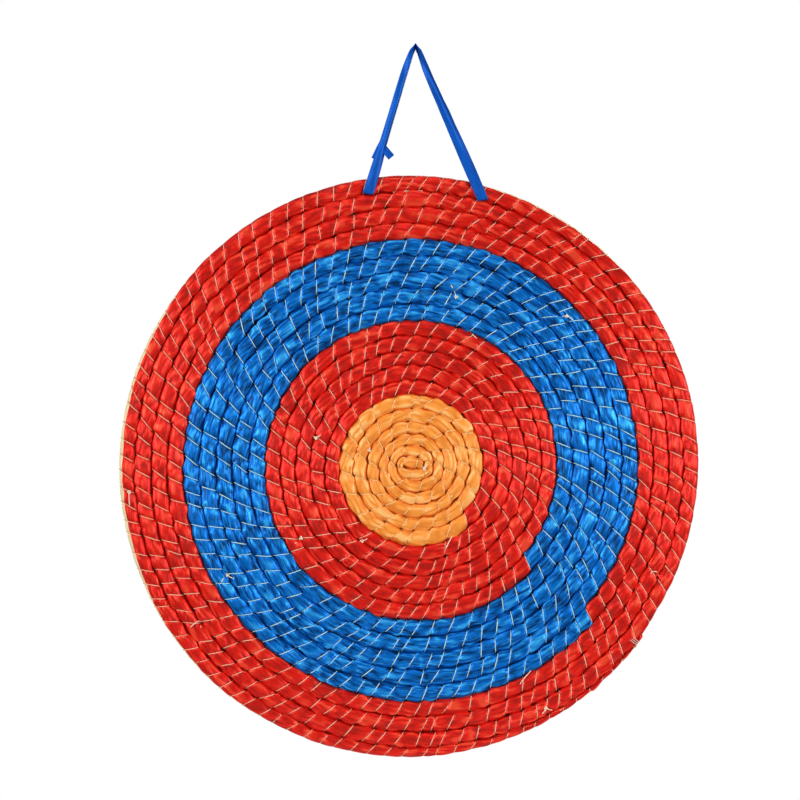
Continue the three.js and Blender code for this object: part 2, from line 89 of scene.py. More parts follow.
def angle(name, degrees, description):
    return number(name, math.radians(degrees), description, subtype="ANGLE")


def colour(name, default, description):
    kind = {"size": 3, "subtype": "COLOR"}
    return FloatVectorProperty(name=name, description=description, default=linear(default), **kind)


class BOSS_PG_coil(bpy.types.PropertyGroup):
    """The coil's course, the same as the CAD's"""

    face: length("Face", 0.0006, "How far behind the nail's middle the face lies")
    depth: length("Rope depth", 0.020, "The rope's size from face to back")
    first_pitch: length("First gold pitch", 0.009, "Width of the rope at the middle")
    last_pitch: length("Last gold pitch", 0.01195, "Width of the rope where the gold ends")
    inner_red_pitch: length("Inner red pitch", 0.01276, "Width of the rope under the inner red cloth")
    blue_pitch: length("Blue pitch", 0.01412, "Width of the rope under the blue cloth")
    outer_red_pitch: length("Outer red pitch", 0.01354, "Width of the rope under the outer red cloth")
    gold_turns: number("Gold turns", 5.5, "Turns covered in gold")
    inner_red_turns: number("Inner red turns", 5, "Turns covered in the inner red")
    blue_turns: number("Blue turns", 5, "Turns covered in blue")
    outer_red_turns: number("Outer red turns", 4.01, "Turns covered in the outer red")
    start_angle: angle("Start angle", 140, "Where the groove starts, from the right, counter-clockwise")
    drift_right: length("Drift right", 0.0024, "How far right of the rim's middle the colours are centred")
    drift_down: length("Drift down", 0.0011, "How far below the rim's middle the colours are centred")
    drift_turns: number("Drift turns", 4, "Turns over which the drift builds up")
    fold_stretch: length("Fold stretch", 0.006, "How far the middle turns are stretched sideways")
    fold_fade: number("Fold fade", 3, "Turns over which the stretch fades")
    fold_squareness: number("Fold squareness", 3, "How suddenly the stretch changes sides")
    pivot_turn: number("Pivot turn", 0.16, "Where on the groove the rope folds back on itself")
    fold_right: length("Fold's right end", 0.0112, "How far right of the middle the rope starts")
    taper_turns: number("Taper", 0.265, "Turns over which the rope's end grows thin")
    taper_width: share("Taper width", 0.18, "Share of the width left at the rope's end")
    taper_depth: share("Taper depth", 0.6, "Share of the depth left at the rope's end")
    middle_x: length("Middle across", -0.003, "The coil's middle, left of the nail")
    middle_z: length("Middle height", -0.3640214, "The coil's middle, below the nail")


class BOSS_PG_rope(bpy.types.PropertyGroup):
    """The rope's section and the look of its stitches"""

    roundness: number("Roundness", 3.0, "Power of the section's rounded outline, 2 for an ellipse")
    end_round: length("End rounding", 0.0025, "Length over which the rope's cut ends round off")
    cloth_lift: length("Cloth lift", 0.0018, "How far the cloth lies over the straw")
    cloth_reach: angle("Cloth reach", 100, "How far round the rope the cloth goes to each side")
    spacing: length("Stitch spacing", 0.0143, "From one stitch to the next along the rope")
    middle_spacing: length("Middle stitch spacing", 0.0098, "From stitch to stitch in the first turn")
    least_spacing: length("Least spacing", 0.0088, "Two stitches are never nearer than this")
    most_spacing: length("Most spacing", 0.0192, "A stitch is added where the gap would be wider")
    spacing_jitter: length("Spacing jitter", 0.0008, "How far a stitch strays along the rope")
    slant: angle("Slant", 28, "Lean of a stitch from the radius")
    slant_jitter: angle("Slant jitter", 5.5, "How much the lean varies")
    pinch: length("Pinch", 0.0013, "How deep a stitch pulls the rope's crest in")
    side_pinch: length("Side pinch", 0.0004, "How deep a stitch pulls the rope's sides in")
    pinch_run: length("Pinch run", 0.0020, "Length over which the pinch fades along the rope")
    wander: length("Groove wander", 0.00055, "How far each groove strays to either side between stitches")
    tilt: length("Patch tilt", 0.0007, "How much one side of the cloth stands out over the other")
    overlap: length("Straw overlap", 0.0003, "How far the straw of neighbouring turns is pressed together")
    bulge: length("Bulge", 0.00045, "How far the cloth bulges over the grooves")
    crease: length("Crease", 0.00120, "Height of the cloth's creases")
    gather: length("Gather", 0.00080, "Height of the gathers beside a stitch")
    skew: length("Patch skew", 0.0009, "How far the cloth shifts sideways between two stitches")
    twine: length("Twine", 0.00086, "Diameter of the stitching twine")


class BOSS_PG_ribbon(bpy.types.PropertyGroup):
    """The hanging ribbon and its knot"""

    width: length("Width", 0.010, "The ribbon's width")
    thickness: length("Thickness", 0.0005, "The ribbon's thickness")
    nail_radius: length("Nail radius", 0.0008, "Radius of the bend over the nail")
    left_angle: angle("Left groove", 99.4, "Where the left leg goes into the groove")
    right_angle: angle("Right groove", 75.2, "Where the right leg goes into the groove")
    bend: length("Bend", 0.0014, "Radius of the bends into and out of the groove")
    back_drop: length("Back drop", 0.0100, "How far below the grooves the run behind the boss lies")
    back_corner: length("Back corner", 0.0070, "Radius of the flat corners behind the boss")
    blend_reach: length("Blend reach", 0.0055, "How far above and below the hinge line the ribbon bends")
    hinge_z: length("Hinge line", -0.111, "Height of the hinge line")


class BOSS_PG_colours(bpy.types.PropertyGroup):
    """Base colours of the real materials"""

    gold: colour("Gold", "#ff9d3e", "Orange gold cloth")
    red: colour("Red", "#e81806", "Red cloth")
    blue: colour("Blue", "#0073d4", "Blue cloth")
    ribbon: colour("Ribbon", "#0156bb", "Blue ribbon")
    straw: colour("Straw", "#fff0c8", "Dried straw")
    straw_dark: colour("Dark straw", "#d6b26e", "Straw in shade and older stalks")
    floor: colour("Floor", "#f2f2f0", "Pale floor")


class BOSS_PG_stage(bpy.types.PropertyGroup):
    """The camera, the lamps and the floor"""

    view_x: length("View across", -0.0134, "Middle of the picture, across")
    view_z: length("View height", -0.3077, "Middle of the picture, in height")
    view_width: length("View width", 0.692, "What the picture shows at the face, across")
    distance: length("Camera distance", 2.6, "From the camera to the face")
    side_power: number("Side lamps", 20, "Power of each soft lamp at the sides, in watts")
    top_power: number("Top lamp", 7, "Power of the soft lamp above, in watts")
    back_power: number("Back lamp", 14, "Power of the soft lamp behind, in watts")
    fill: number("Fill", 0.20, "Strength of the even light from all round")
    floor_z: length("Floor height", -0.75, "Height of the floor, below the boss")
    floor_radius: length("Floor radius", 0.62, "Radius of the floor")


GROUPS = {
    "boss_coil": BOSS_PG_coil,
    "boss_rope": BOSS_PG_rope,
    "boss_ribbon": BOSS_PG_ribbon,
    "boss_colours": BOSS_PG_colours,
    "boss_stage": BOSS_PG_stage,
}


# Noise and small geometry


def lattice(i, j, seed):
    """A repeatable random number from -1 to 1 for each pair of whole numbers."""
    mixed = (i * 374761393 + j * 668265263 + seed * 362437) & 0xFFFFFFFF
    mixed = ((mixed ^ (mixed >> 13)) * 1274126177) & 0xFFFFFFFF
    mixed ^= mixed >> 16
    return mixed / 0x7FFFFFFF - 1


def eased(share_of):
    """A share from 0 to 1 with a soft start and end."""
    return share_of * share_of * (3 - 2 * share_of)


def noise(x, y, seed):
    """Smooth noise from -1 to 1 over a plane, with about one feature in each unit square."""
    x, y = np.broadcast_arrays(np.asarray(x, float), np.asarray(y, float))
    i, j = np.floor(x).astype(np.int64), np.floor(y).astype(np.int64)
    across, up = eased(x - i), eased(y - j)
    low = lattice(i, j, seed) * (1 - across) + lattice(i + 1, j, seed) * across
    high = lattice(i, j + 1, seed) * (1 - across) + lattice(i + 1, j + 1, seed) * across
    return low * (1 - up) + high * up


def wavering(along, seed):
    """Noise along one line."""
    return noise(along, 0.5, seed)


def patterned(pattern, along, across=0.5, more=0):
    """Noise by a pattern's size along, its size across and its first seed."""
    return noise(along / pattern[0], across / pattern[1], pattern[2] + more)


def rise(value, start, run):
    """From 0 at start to 1 a run further on."""
    return np.clip((value - start) / run, 0, 1)


def signed_power(value, power):
    """A power of the size of a value, with its sign kept."""
    return np.sign(value) * np.abs(value) ** power


def unit(vectors):
    """Vectors of the same directions, one metre long."""
    return vectors / np.maximum(np.linalg.norm(vectors, axis=-1, keepdims=True), NEAR_ZERO)


def running_length(points):
    """The length along a line of points up to each of them."""
    return np.concatenate([[0], np.cumsum(np.linalg.norm(np.diff(points, axis=0), axis=1))])


def course(path, loop):
    """The way ahead at each point of a path, and the length up to each, with one more on a loop."""
    ahead = np.roll(path, -1, 0) - np.roll(path, 1, 0)
    if not loop:
        ahead[0], ahead[-1] = path[1] - path[0], path[-1] - path[-2]
    return unit(ahead), running_length(np.append(path, path[:1], axis=0))[: len(path) + loop]


def rings(path, radius, first, second, sides):
    """A round ring about each point of a path, between two directions across it."""
    turn = np.linspace(0, FULL_TURN, sides, endpoint=False)[None, :, None]
    return path[:, None] + radius * (np.cos(turn) * first[:, None] + np.sin(turn) * second[:, None])


class Skin:
    """Gathers grids of points into one mesh, with UVs in millimetres."""

    def __init__(self):
        self.points, self.quads, self.uvs, self.caps, self.size = [], [], [], [], 0
        self.values = {}

    def grid(self, points, along, across, ring=False, loop=False, capped=False, **values):
        """Adds rows of points. A ring closes each row, a loop joins the last row to the first."""
        rows, columns = points.shape[:2]
        i, j = np.meshgrid(np.arange(rows - (not loop)), np.arange(columns - (not ring)), indexing="ij")
        corners = [(i, j), (i, j + 1), (i + 1, j + 1), (i + 1, j)]
        along, across = np.asarray(along) / MM, np.asarray(across) / MM
        if along.ndim == 1:
            along = np.broadcast_to(along[:, None], (len(along), columns + ring))
        if across.ndim == 1:
            across = np.broadcast_to(across[None, :], (rows + loop, len(across)))
        quads = [self.size + (a % rows) * columns + b % columns for a, b in corners]
        uvs = [np.stack([along[a, b], across[a, b]], -1) for a, b in corners]
        self.points.append(points.reshape(-1, 3))
        self.quads.append(np.stack(quads, -1).reshape(-1, 4))
        self.uvs.append(np.stack(uvs, -2).reshape(-1, 2))
        if capped:
            first = self.size + np.arange(columns)
            self.caps += [first[::-1].tolist(), (first + (rows - 1) * columns).tolist()]
        for name, value in values.items():
            self.values.setdefault(name, []).append(np.broadcast_to(value, (rows, columns)).reshape(-1))
        self.size += rows * columns

    def build(self, name, material, shell=True):
        """Makes the object. A shell is closed, and its faces are turned outwards."""
        mesh = bpy.data.meshes.new(name)
        mesh.from_pydata(np.concatenate(self.points), [], np.concatenate(self.quads).tolist() + self.caps)
        uvs = np.zeros((len(mesh.loops), 2), np.float32)
        flat = np.concatenate(self.uvs)
        uvs[: len(flat)] = flat
        mesh.uv_layers.new(name="UVMap").data.foreach_set("uv", uvs.ravel())
        for key, value in self.values.items():
            attribute = mesh.attributes.new(key, "FLOAT", "POINT")
            attribute.data.foreach_set("value", np.concatenate(value).astype(np.float32))
        mesh.polygons.foreach_set("use_smooth", [True] * len(mesh.polygons))
        if shell:
            work = bmesh.new()
            work.from_mesh(mesh)
            bmesh.ops.recalc_face_normals(work, faces=work.faces)
            work.to_mesh(mesh)
            work.free()
        mesh.update()
        obj = bpy.data.objects.new(name, mesh)
        bpy.context.scene.collection.objects.link(obj)
        mesh.materials.append(material)
        return obj


def tube(skin, path, radius, side=BACKWARD, sides=6, loop=False, **values):
    """Adds a round tube along a path. side is a direction that is never along the path."""
    ahead, along = course(path, loop)
    first = unit(np.cross(ahead, side))
    points = rings(path, radius, first, np.cross(first, ahead), sides)
    around = np.linspace(0, FULL_TURN * radius, sides + 1)
    skin.grid(points, along, around, ring=True, loop=loop, capped=not loop, **values)


# The coil's course


class Coil:
    """Where the rope's inner and outer grooves run, read at any turn or any length along the rope."""

    STEPS_A_TURN = 1400
    FAR_STEPS = 30 * STEPS_A_TURN
    UNDER_FOLD, OVER_FOLD = 0.5, (0.64, 1.1)  # how far the groove under the fold runs, and the one over it
    STRAY = (0.0095, 1, 91)  # the groove's waves: size along, size across and seed, as for all patterns here
    TILTS = (0.013, 1, 57)
    CALM_START, CALM_RUN = 0.4, 1.5  # turns in which the waves grow
    CALM_END, CALM_FADE = 0.3, 0.1  # the waves' share at the rope's end, and the turns in which they fade
    RIM_RUN = 0.01  # turns over which the outermost turn begins
    # these two set where the painted shade in a groove begins and how fast it darkens
    GROOVE_TOP, GROOVE_RUN = 0.62, 0.35  # share of the rope's height where a groove begins, and its depth
    LEAST_END = 0.004  # keeps the rope's cut ends from closing to a point

    def __init__(self, sizes, rope):
        self.sizes, self.rope, s = sizes, rope, sizes
        self.gold_end = s.gold_turns
        self.inner_red_end = self.gold_end + s.inner_red_turns
        self.blue_end = self.inner_red_end + s.blue_turns
        self.end = self.blue_end + s.outer_red_turns
        self.far_turns = np.linspace(0, self.end + 1, self.FAR_STEPS)
        self.groove_lengths = np.cumsum(FULL_TURN * self.radius(self.far_turns) * self.far_turns[1])
        pivot = self.groove(np.array([s.pivot_turn]))[0]
        lower = np.linspace(s.pivot_turn, self.UNDER_FOLD, self.STEPS_A_TURN)
        upper = np.linspace(*self.OVER_FOLD, self.STEPS_A_TURN)[::-1]
        over_x = self.groove(upper)[:, 0]
        right_turn, pivot_turn = (np.interp(x, over_x, upper) for x in (s.fold_right, pivot[0]))
        steps = int((self.end - right_turn + 1) * self.STEPS_A_TURN)
        self.turns = np.linspace(right_turn - 1, self.end, steps)
        self.outer = self.groove(self.turns + 1)
        self.inner = self.groove(np.maximum(self.turns, s.pivot_turn))
        run = self.turns < pivot_turn - 1
        self.inner[run] = self.groove(np.interp(self.outer[run, 0], self.groove(lower)[:, 0], lower))
        self.outer = self.inner + (self.outer - self.inner) * self.tapered(self.turns, s.taper_width)[:, None]
        self.deep = self.tapered(self.turns, s.taper_depth)
        self.lengths = running_length((self.inner + self.outer) / 2)

    def tapered(self, turn, least):
        """1 along the rope, and less over its last part, down to the least."""
        return np.interp(turn, [self.end - self.sizes.taper_turns, self.end], [1, least])

    def radius(self, turn):
        """How far the groove lies from the middle after so many turns."""
        s = self.sizes
        gold = np.clip(turn, 0, self.gold_end)
        growth = (s.last_pitch - s.first_pitch) / (2 * s.gold_turns)
        return (
            s.first_pitch * gold
            + growth * gold * gold
            + s.inner_red_pitch * np.clip(turn - self.gold_end, 0, s.inner_red_turns)
            + s.blue_pitch * np.clip(turn - self.inner_red_end, 0, s.blue_turns)
            + s.outer_red_pitch * np.maximum(turn - self.blue_end, 0)
        )

    def groove(self, turn):
        s = self.sizes
        angle_at = s.start_angle + FULL_TURN * turn
        fade = np.maximum(1 - turn / s.fold_fade, 0)
        stretch = s.fold_stretch * fade * np.tanh(s.fold_squareness * np.cos(angle_at))
        drift = eased(rise(turn, 0, s.drift_turns)) * (1 - rise(turn, self.blue_end, s.outer_red_turns + 1))
        along = np.interp(turn, self.far_turns, self.groove_lengths)
        strayed = patterned(self.STRAY, along)
        calm = np.interp(turn, [self.end - self.CALM_FADE, self.end + self.CALM_FADE], [1, self.CALM_END])
        calm = rise(turn, self.CALM_START, self.CALM_RUN) * calm
        radius = self.radius(turn) + self.rope.wander * np.tanh(2 * strayed) * calm
        x = radius * np.cos(angle_at) + s.drift_right * drift + stretch
        return np.stack([x, radius * np.sin(angle_at) - s.drift_down * drift], -1)

    def turn_at(self, along):
        return np.interp(along, self.lengths, self.turns)

    def length_at(self, turn):
        return float(np.interp(turn, self.turns, self.lengths))

    def last_turn(self, angle_at):
        """The last turn at which the groove passes an angle."""
        turn = (angle_at - self.sizes.start_angle) / FULL_TURN
        return turn + math.floor(self.end - turn)

    def outermost(self, along):
        """1 along the outermost turn, and 0 elsewhere."""
        return rise(self.turn_at(along), self.end - 1, self.RIM_RUN)

    def rope_width(self, turn):
        full = self.radius(turn + 1.0) - self.radius(max(turn, 0.0))
        return float(full * self.tapered(turn, self.sizes.taper_width))

    def arc(self, around):
        """The length round the rope's section from the crest of its face."""
        fine = np.linspace(0, FULL_TURN / 2, 721)
        across = self.section_share(fine) * self.sizes.outer_red_pitch
        deep = signed_power(np.cos(fine), 2 / self.rope.roundness) * self.sizes.depth
        measured = running_length(np.stack([across, deep], -1) / 2)
        return np.sign(around) * np.interp(np.abs(around), fine, measured)

    def columns(self, front, sides):
        """Places round the rope, even over its face and wider apart down its sides, from -1 to 1."""
        face = np.arcsin(signed_power(np.linspace(-0.95, 0.95, front), self.rope.roundness / 2))
        side = np.linspace(face[-1], self.rope.cloth_reach, sides + 1)[1:]
        return np.concatenate([-side[::-1], face, side]) / self.rope.cloth_reach

    def edges(self, along):
        """The inner groove, the outer groove and the share of depth at a length along the rope."""
        turn = self.turn_at(along)
        inner, outer = (
            np.stack([np.interp(turn, self.turns, line[:, k]) for k in (0, 1)], -1)
            for line in (self.inner, self.outer)
        )
        return inner, outer, np.interp(turn, self.turns, self.deep)

    def in_space(self, flat, y):
        """Points of the coil's plane, from its middle, at a depth behind the nail."""
        x, z = flat[..., 0] + self.sizes.middle_x, flat[..., 1] + self.sizes.middle_z
        return np.stack([x, np.broadcast_to(y, x.shape), z], -1)

    def section_share(self, around):
        """How far across the rope a place round its section lies, from -1 to 1."""
        return signed_power(np.sin(around), 2 / self.rope.roundness)

    def groove_share(self, along, around):
        """How much painted shade the grooves get: from 0 on the crest to 1 at the bottom of a groove, and 0
        on the rope's open outer side, which is left unshaded.
        """
        height = np.abs(np.cos(around)) ** (2 / self.rope.roundness)
        groove_shade = np.clip((self.GROOVE_TOP - height) / self.GROOVE_RUN, 0, 1)
        return groove_shade * (1 - self.outermost(along) * (around > 0))

    def pinched(self, near, around):
        """How deep the stitches pull the rope in."""
        rope = self.rope
        return near * (rope.side_pinch + (rope.pinch - rope.side_pinch) * np.abs(np.cos(around)) ** 0.8)

    def patch_tilt(self, along):
        """How the cloth's front leans from one patch to the next."""
        return self.rope.tilt * patterned(self.TILTS, along)

    def surface(self, along, around, sunk=0.0, wider=0.0, tilt=0.0, aside=0.0):
        """Points on the rope: along it, and around from the face's crest outwards. sunk moves them in."""
        along, around = np.broadcast_arrays(np.asarray(along, float), np.asarray(around, float))
        inner, outer, deep = self.edges(along)
        power = self.rope.roundness - 1
        u, v = self.section_share(around), signed_power(np.cos(around), 2 / self.rope.roundness)
        half = (outer - inner) / 2
        width = np.maximum(np.linalg.norm(half, axis=-1), TINY)
        depth = deep * self.sizes.depth / 2
        from_end = np.minimum(along, self.lengths[-1] - along)
        closed = np.sqrt(1 - (1 - np.clip(from_end / self.rope.end_round, self.LEAST_END, 1)) ** 2)
        normal_u, normal_v = signed_power(u, power) / width, signed_power(v, power) / depth
        inwards = np.asarray(sunk) * closed / np.hypot(normal_u, normal_v)
        out_u = (u * closed - inwards * normal_u / width) * (1 + wider / width) + aside / width
        out_v = v * depth * closed - inwards * normal_v + tilt * u * np.maximum(v, 0)
        flat = (inner + outer) / 2 + half * out_u[..., None]
        return self.in_space(flat, self.sizes.face + self.sizes.depth / 2 - out_v)


class Stitches:
    """Where each stitch crosses the rope, and how it leans."""

    SEED = 31
    FIRST_PLACE, FIRST_LEAN = 0.007, 0.3
    FIRST_TURN_SHARE, MOST_STRETCH = 0.85, 1.15  # of the usual spacing
    LAST_START, LAST_PLACE = 0.012, 0.006  # no stitch is begun, or kept, nearer than this to the rope's end

    def __init__(self, coil):
        self.coil, rope = coil, coil.rope
        random = np.random.default_rng(self.SEED)
        total = coil.lengths[-1]
        first_turn = coil.length_at(coil.turns[0] + 1)
        places, leans = [self.FIRST_PLACE], [self.FIRST_LEAN]
        parent = 0
        while places[-1] < total - self.LAST_START:
            last = places[-1]
            lean = rope.slant + random.normal() * rope.slant_jitter
            stray = float(np.clip(random.normal(), -2, 2)) * rope.spacing_jitter
            if last < first_turn:
                spacing = (rope.middle_spacing, rope.spacing * self.FIRST_TURN_SHARE)
                here = last + np.interp(last, (0, first_turn), spacing) + stray
            else:
                while parent < len(places):
                    follower = self.follower(places[parent], leans[parent])
                    if follower - last >= rope.least_spacing:
                        break
                    parent += 1
                if follower - last > rope.most_spacing:
                    here = last + max(rope.spacing, (follower - last) / 2) + stray
                    here = min(here, last + rope.spacing * self.MOST_STRETCH)
                else:
                    here = follower + stray
                    parent += 1
            places.append(here)
            leans.append(lean)
        kept = np.array(places) <= total - self.LAST_PLACE
        self.places = np.array(places)[kept]
        width = np.array([coil.rope_width(turn) for turn in coil.turn_at(self.places)])
        self.offsets = width * np.tan(np.array(leans)[kept])

    def follower(self, place, lean):
        """The place on the next turn where the stitch's slanted line goes on."""
        turn = self.coil.turn_at(place)
        step = self.coil.rope_width(turn) * math.tan(lean)
        return self.coil.length_at(turn + 1 - step / (FULL_TURN * self.coil.radius(turn + 1)))


class Stations:
    """Rows across the rope, one on each stitch and more of them close beside it."""

    CROWDING = 0.6  # how much nearer the rows lie to each other at a stitch
    EASE = 0.0012  # how soon beside a stitch the cloth begins to shift

    def __init__(self, coil, stitches, steps, start, end):
        self.coil = coil
        places = np.concatenate([[0], stitches.places, [coil.lengths[-1]]])
        offsets = np.concatenate([[0], stitches.offsets, [0]])
        weights = np.minimum(np.arange(len(places)), 1)
        weights[-1] = 0
        even = np.arange(steps) / steps
        part = (1 - np.cos(np.pi * even)) / 2 * self.CROWDING + even * (1 - self.CROWDING)
        gaps = np.diff(places)[:, None]
        rows = {
            "along": (places[:-1, None] + gaps * part, places[-1]),
            "offset": (offsets[:-1, None] * (1 - part) + offsets[1:, None] * part, 0),
            "before": (gaps * part, 1),
            "after": (gaps * (1 - part), 0),
            "before_weight": (np.repeat(weights[:-1], steps), 0),
            "after_weight": (np.repeat(weights[1:], steps), 0),
        }
        rows = {key: np.append(values, last) for key, (values, last) in rows.items()}
        kept = (rows["along"] >= start - TINY) & (rows["along"] <= end + TINY)
        for key, values in rows.items():
            setattr(self, key, values[kept])

    def skewed(self):
        """From -1 after a stitch to 1 before the next, and 0 on each stitch."""
        nearest = np.minimum(self.before, self.after)
        return (2 * self.before / (self.before + self.after) - 1) * (1 - np.exp(-nearest / self.EASE))

    def near(self, run):
        """How strongly the nearest stitch pulls at each row, from 1 on the stitch to 0 far away."""
        before = self.before_weight * np.exp(-self.before / run)
        return np.maximum(before, self.after_weight * np.exp(-self.after / run))[:, None]

    def slanted(self, around):
        """Lengths along the rope for rows that slant as the stitches do."""
        return self.along[:, None] - self.offset[:, None] / 2 * self.coil.section_share(around)


# Materials


class Nodes:
    """The node tree of a material or of the world, with one way to add a node."""

    MIX_AMOUNT, MIX_LOW, MIX_HIGH, MIX_RESULT = 0, 6, 7, 2  # the mix node's sockets for colours

    def __init__(self, owner):
        owner.use_nodes = True
        self.owner, self.tree = owner, owner.node_tree
        self.shader = self.tree.nodes.get("Principled BSDF")

    def add(self, kind, inputs=None, **settings):
        node = self.tree.nodes.new(kind)
        for key, value in settings.items():
            setattr(node, key, value)
        for key, value in (inputs or {}).items():
            self.put(node.inputs[key], value)
        return node

    def put(self, socket, value):
        if isinstance(value, bpy.types.Node):
            value = value.outputs[0]
        if isinstance(value, bpy.types.NodeSocket):
            self.tree.links.new(value, socket)
        else:
            socket.default_value = value

    def times(self, *values):
        return self.add("ShaderNodeMath", dict(enumerate(values)), operation="MULTIPLY")

    def layers(self, base, *laid):
        """Colours laid one over another, each by its amount."""
        for amount, over in laid:
            inputs = {self.MIX_AMOUNT: amount, self.MIX_LOW: base, self.MIX_HIGH: over}
            base = self.add("ShaderNodeMix", inputs, data_type="RGBA").outputs[self.MIX_RESULT]
        return base

    def uv(self, along, across, turned=0.0):
        """The piece's own UV, in millimetres, divided by a pattern's size along and across."""
        inputs = {
            "Vector": self.add("ShaderNodeUVMap", uv_map="UVMap"),
            "Rotation": (0, 0, turned),
            "Scale": (1 / along, 1 / across, 1),
        }
        return self.add("ShaderNodeMapping", inputs)

    def noise(self, along, across, detail=2.0):
        inputs = {"Vector": self.uv(along, across), "Scale": 1.0, "Detail": detail}
        return self.add("ShaderNodeTexNoise", inputs)

    def wave(self, scale, distortion=0.0, turned=0.0, **settings):
        inputs = {"Vector": self.uv(1, 1, turned), "Scale": scale, "Distortion": distortion}
        return self.add("ShaderNodeTexWave", inputs, **settings).outputs["Fac"]

    def value(self, name):
        return self.add("ShaderNodeAttribute", attribute_name=name).outputs["Fac"]

    def ramp(self, source, low, high, to_low=0.0, to_high=1.0):
        inputs = {"Value": source, "From Min": low, "From Max": high, "To Min": to_low, "To Max": to_high}
        return self.add("ShaderNodeMapRange", inputs)

    def finished(self, base, roughness, *bumps, **uniform):
        """Sets the surface. Each bump is a height and its depth in millimetres, one over another."""
        for key, value in {"Base Color": base, "Roughness": roughness, **uniform}.items():
            self.put(self.shader.inputs[key.replace("_", " ")], value)
        normal = {}
        for height, depth in bumps:
            inputs = {"Height": height, "Distance": depth * MM, "Strength": 1.0, **normal}
            normal = {"Normal": self.add("ShaderNodeBump", inputs)}
        for key, value in normal.items():
            self.put(self.shader.inputs[key], value)
        return self.owner


def new_material(name):
    return Nodes(bpy.data.materials.new(name))


def painted(name):
    """One of the colours in the panel."""
    return list(getattr(bpy.context.scene.boss_colours, name))


def shade(rgb, factor=1.0):
    return (*[min(max(c * factor, 0), 1) for c in rgb], 1)


# Each cloth's painted shadow and painted highlight colours, how high it puffs, and how much of it is fine
# pleats, how strongly its streaks and folds are painted with that shadow and highlight, and how dark the
# painted shade in its grooves is
CLOTHS = {
    "gold": {
        "shadow": "#d8721f", "light": "#ffcb80", "relief": 1.15, "bulge": 1.7, "pleats": 0.1,
        "streaks": 0.05, "folds": 0.65, "groove": 0.2, "specular": 0.35, "metallic": 0.15,
    },
    "red": {
        "shadow": "#8c0d06", "light": "#ff5836", "relief": 1.2, "bulge": 1.4, "pleats": 0.2,
        "streaks": 0.12, "folds": 0.62, "groove": 0.28, "specular": 0.4, "metallic": 0.4,
    },
    "blue": {
        "shadow": "#001c4a", "light": "#3cb8ff", "relief": 1.5, "bulge": 1.2, "pleats": 0.3,
        "streaks": 0.48, "folds": 0.85, "groove": 0.8, "specular": 0.2, "metallic": 0.5,
    },
}

# The stitching twine's plain colour, then its tints of painted bounce light: from the cloth that it is sewn
# through, and from the cloth at the rope's end
TWINE_AND_BOUNCE = {"plain": "#fff0d2", "gold": "#ffd888", "red": "#ffba92", "blue": "#bcecee", "lashing": "#e0a898"}


@cache
def cloth(kind):
    """Glossy polyester lining cloth, gathered and thin: each fold has a painted highlight on its crest beside
    a painted shade in its valley, with painted shade in the grooves and beside the stitches too.
    """
    n = new_material(f"{kind}_lining_cloth")
    look, rgb = CLOTHS[kind], painted(kind)
    shadow, light = linear(look["shadow"]), linear(look["light"])
    folds, share_of = look["folds"], look["streaks"]
    # the threads lie near 0.3 mm apart and are drawn coarser, about 0.6 mm apart, to show
    weave = n.times(n.wave(0.55, 0.6), n.wave(0.5, bands_direction="Y"))
    streaks, fine, mottle = n.noise(13, 1.1, 3.0), n.noise(3.2, 0.8), n.noise(16, 7, 3.0)
    fold, deep, tight = n.value("fold"), n.value("groove"), n.value("near")
    base = n.layers(
        shade(rgb, 0.88),
        (n.ramp(mottle, 0.3, 0.7), shade(rgb, 1.05)),
        # painted shade in the fold valleys and painted highlight on the fold crests
        (n.ramp(fold, 0.45, 0.05, 0, folds), shade(shadow)),
        (n.ramp(fold, 0.6, 0.95, 0, folds), shade(light)),
        # the satin's streaks are real bumps, and are also painted darker and lighter: painted shadow and
        # painted highlight
        (n.ramp(streaks, 0.45, 0.33, 0, share_of), shade(shadow)),
        (n.ramp(streaks, 0.57, 0.66, 0, share_of), shade(light)),
        # painted shade in the grooves
        (n.times(deep, look["groove"]), shade(shadow, 0.3)),
        # painted shade beside each stitch
        (n.times(tight, 0.35), shade(shadow, 0.7)),
        # painted shade, nearly black, where a stitch pulls into a groove
        (n.times(n.times(tight, deep), 0.85), shade(shadow, 0.08)),
    )
    n.put(n.shader.inputs["Tangent"], n.add("ShaderNodeTangent", direction_type="UV_MAP", uv_map="UVMap"))
    bumps = (streaks, 0.4 * share_of + 0.12), (fine, 0.15), (weave, 0.02)
    shine = {"Metallic": look["metallic"], "Specular_IOR_Level": look["specular"], "Anisotropic": 0.65}
    return n.finished(base, n.ramp(fine, 0.3, 0.7, 0.34, 0.5), *bumps, **shine, Anisotropic_Rotation=0.25)


@cache
def straw():
    """Dried straw: stalks 1 mm wide that run along the rope, waxy, and darker where they are old, with
    painted shade in the grooves between the turns.
    """
    n = new_material("dried_straw")
    rgb, dark = painted("straw"), painted("straw_dark")
    stalks, fibres, patches = n.noise(30, 1.1), n.noise(12, 0.35), n.noise(40, 12)
    base = n.layers(
        shade(dark),
        (n.ramp(stalks, 0.3, 0.65), shade(rgb)),
        (n.ramp(patches, 0.45, 0.75, 0, 0.35), shade(rgb, 0.78)),
        # painted shade in the grooves between the turns
        (n.times(n.value("groove"), 0.75), shade(dark, 0.35)),
    )
    roughness = n.ramp(fibres, 0.2, 0.8, 0.45, 0.75)
    return n.finished(base, roughness, (stalks, 0.9), (fibres, 0.25), Specular_IOR_Level=0.35)


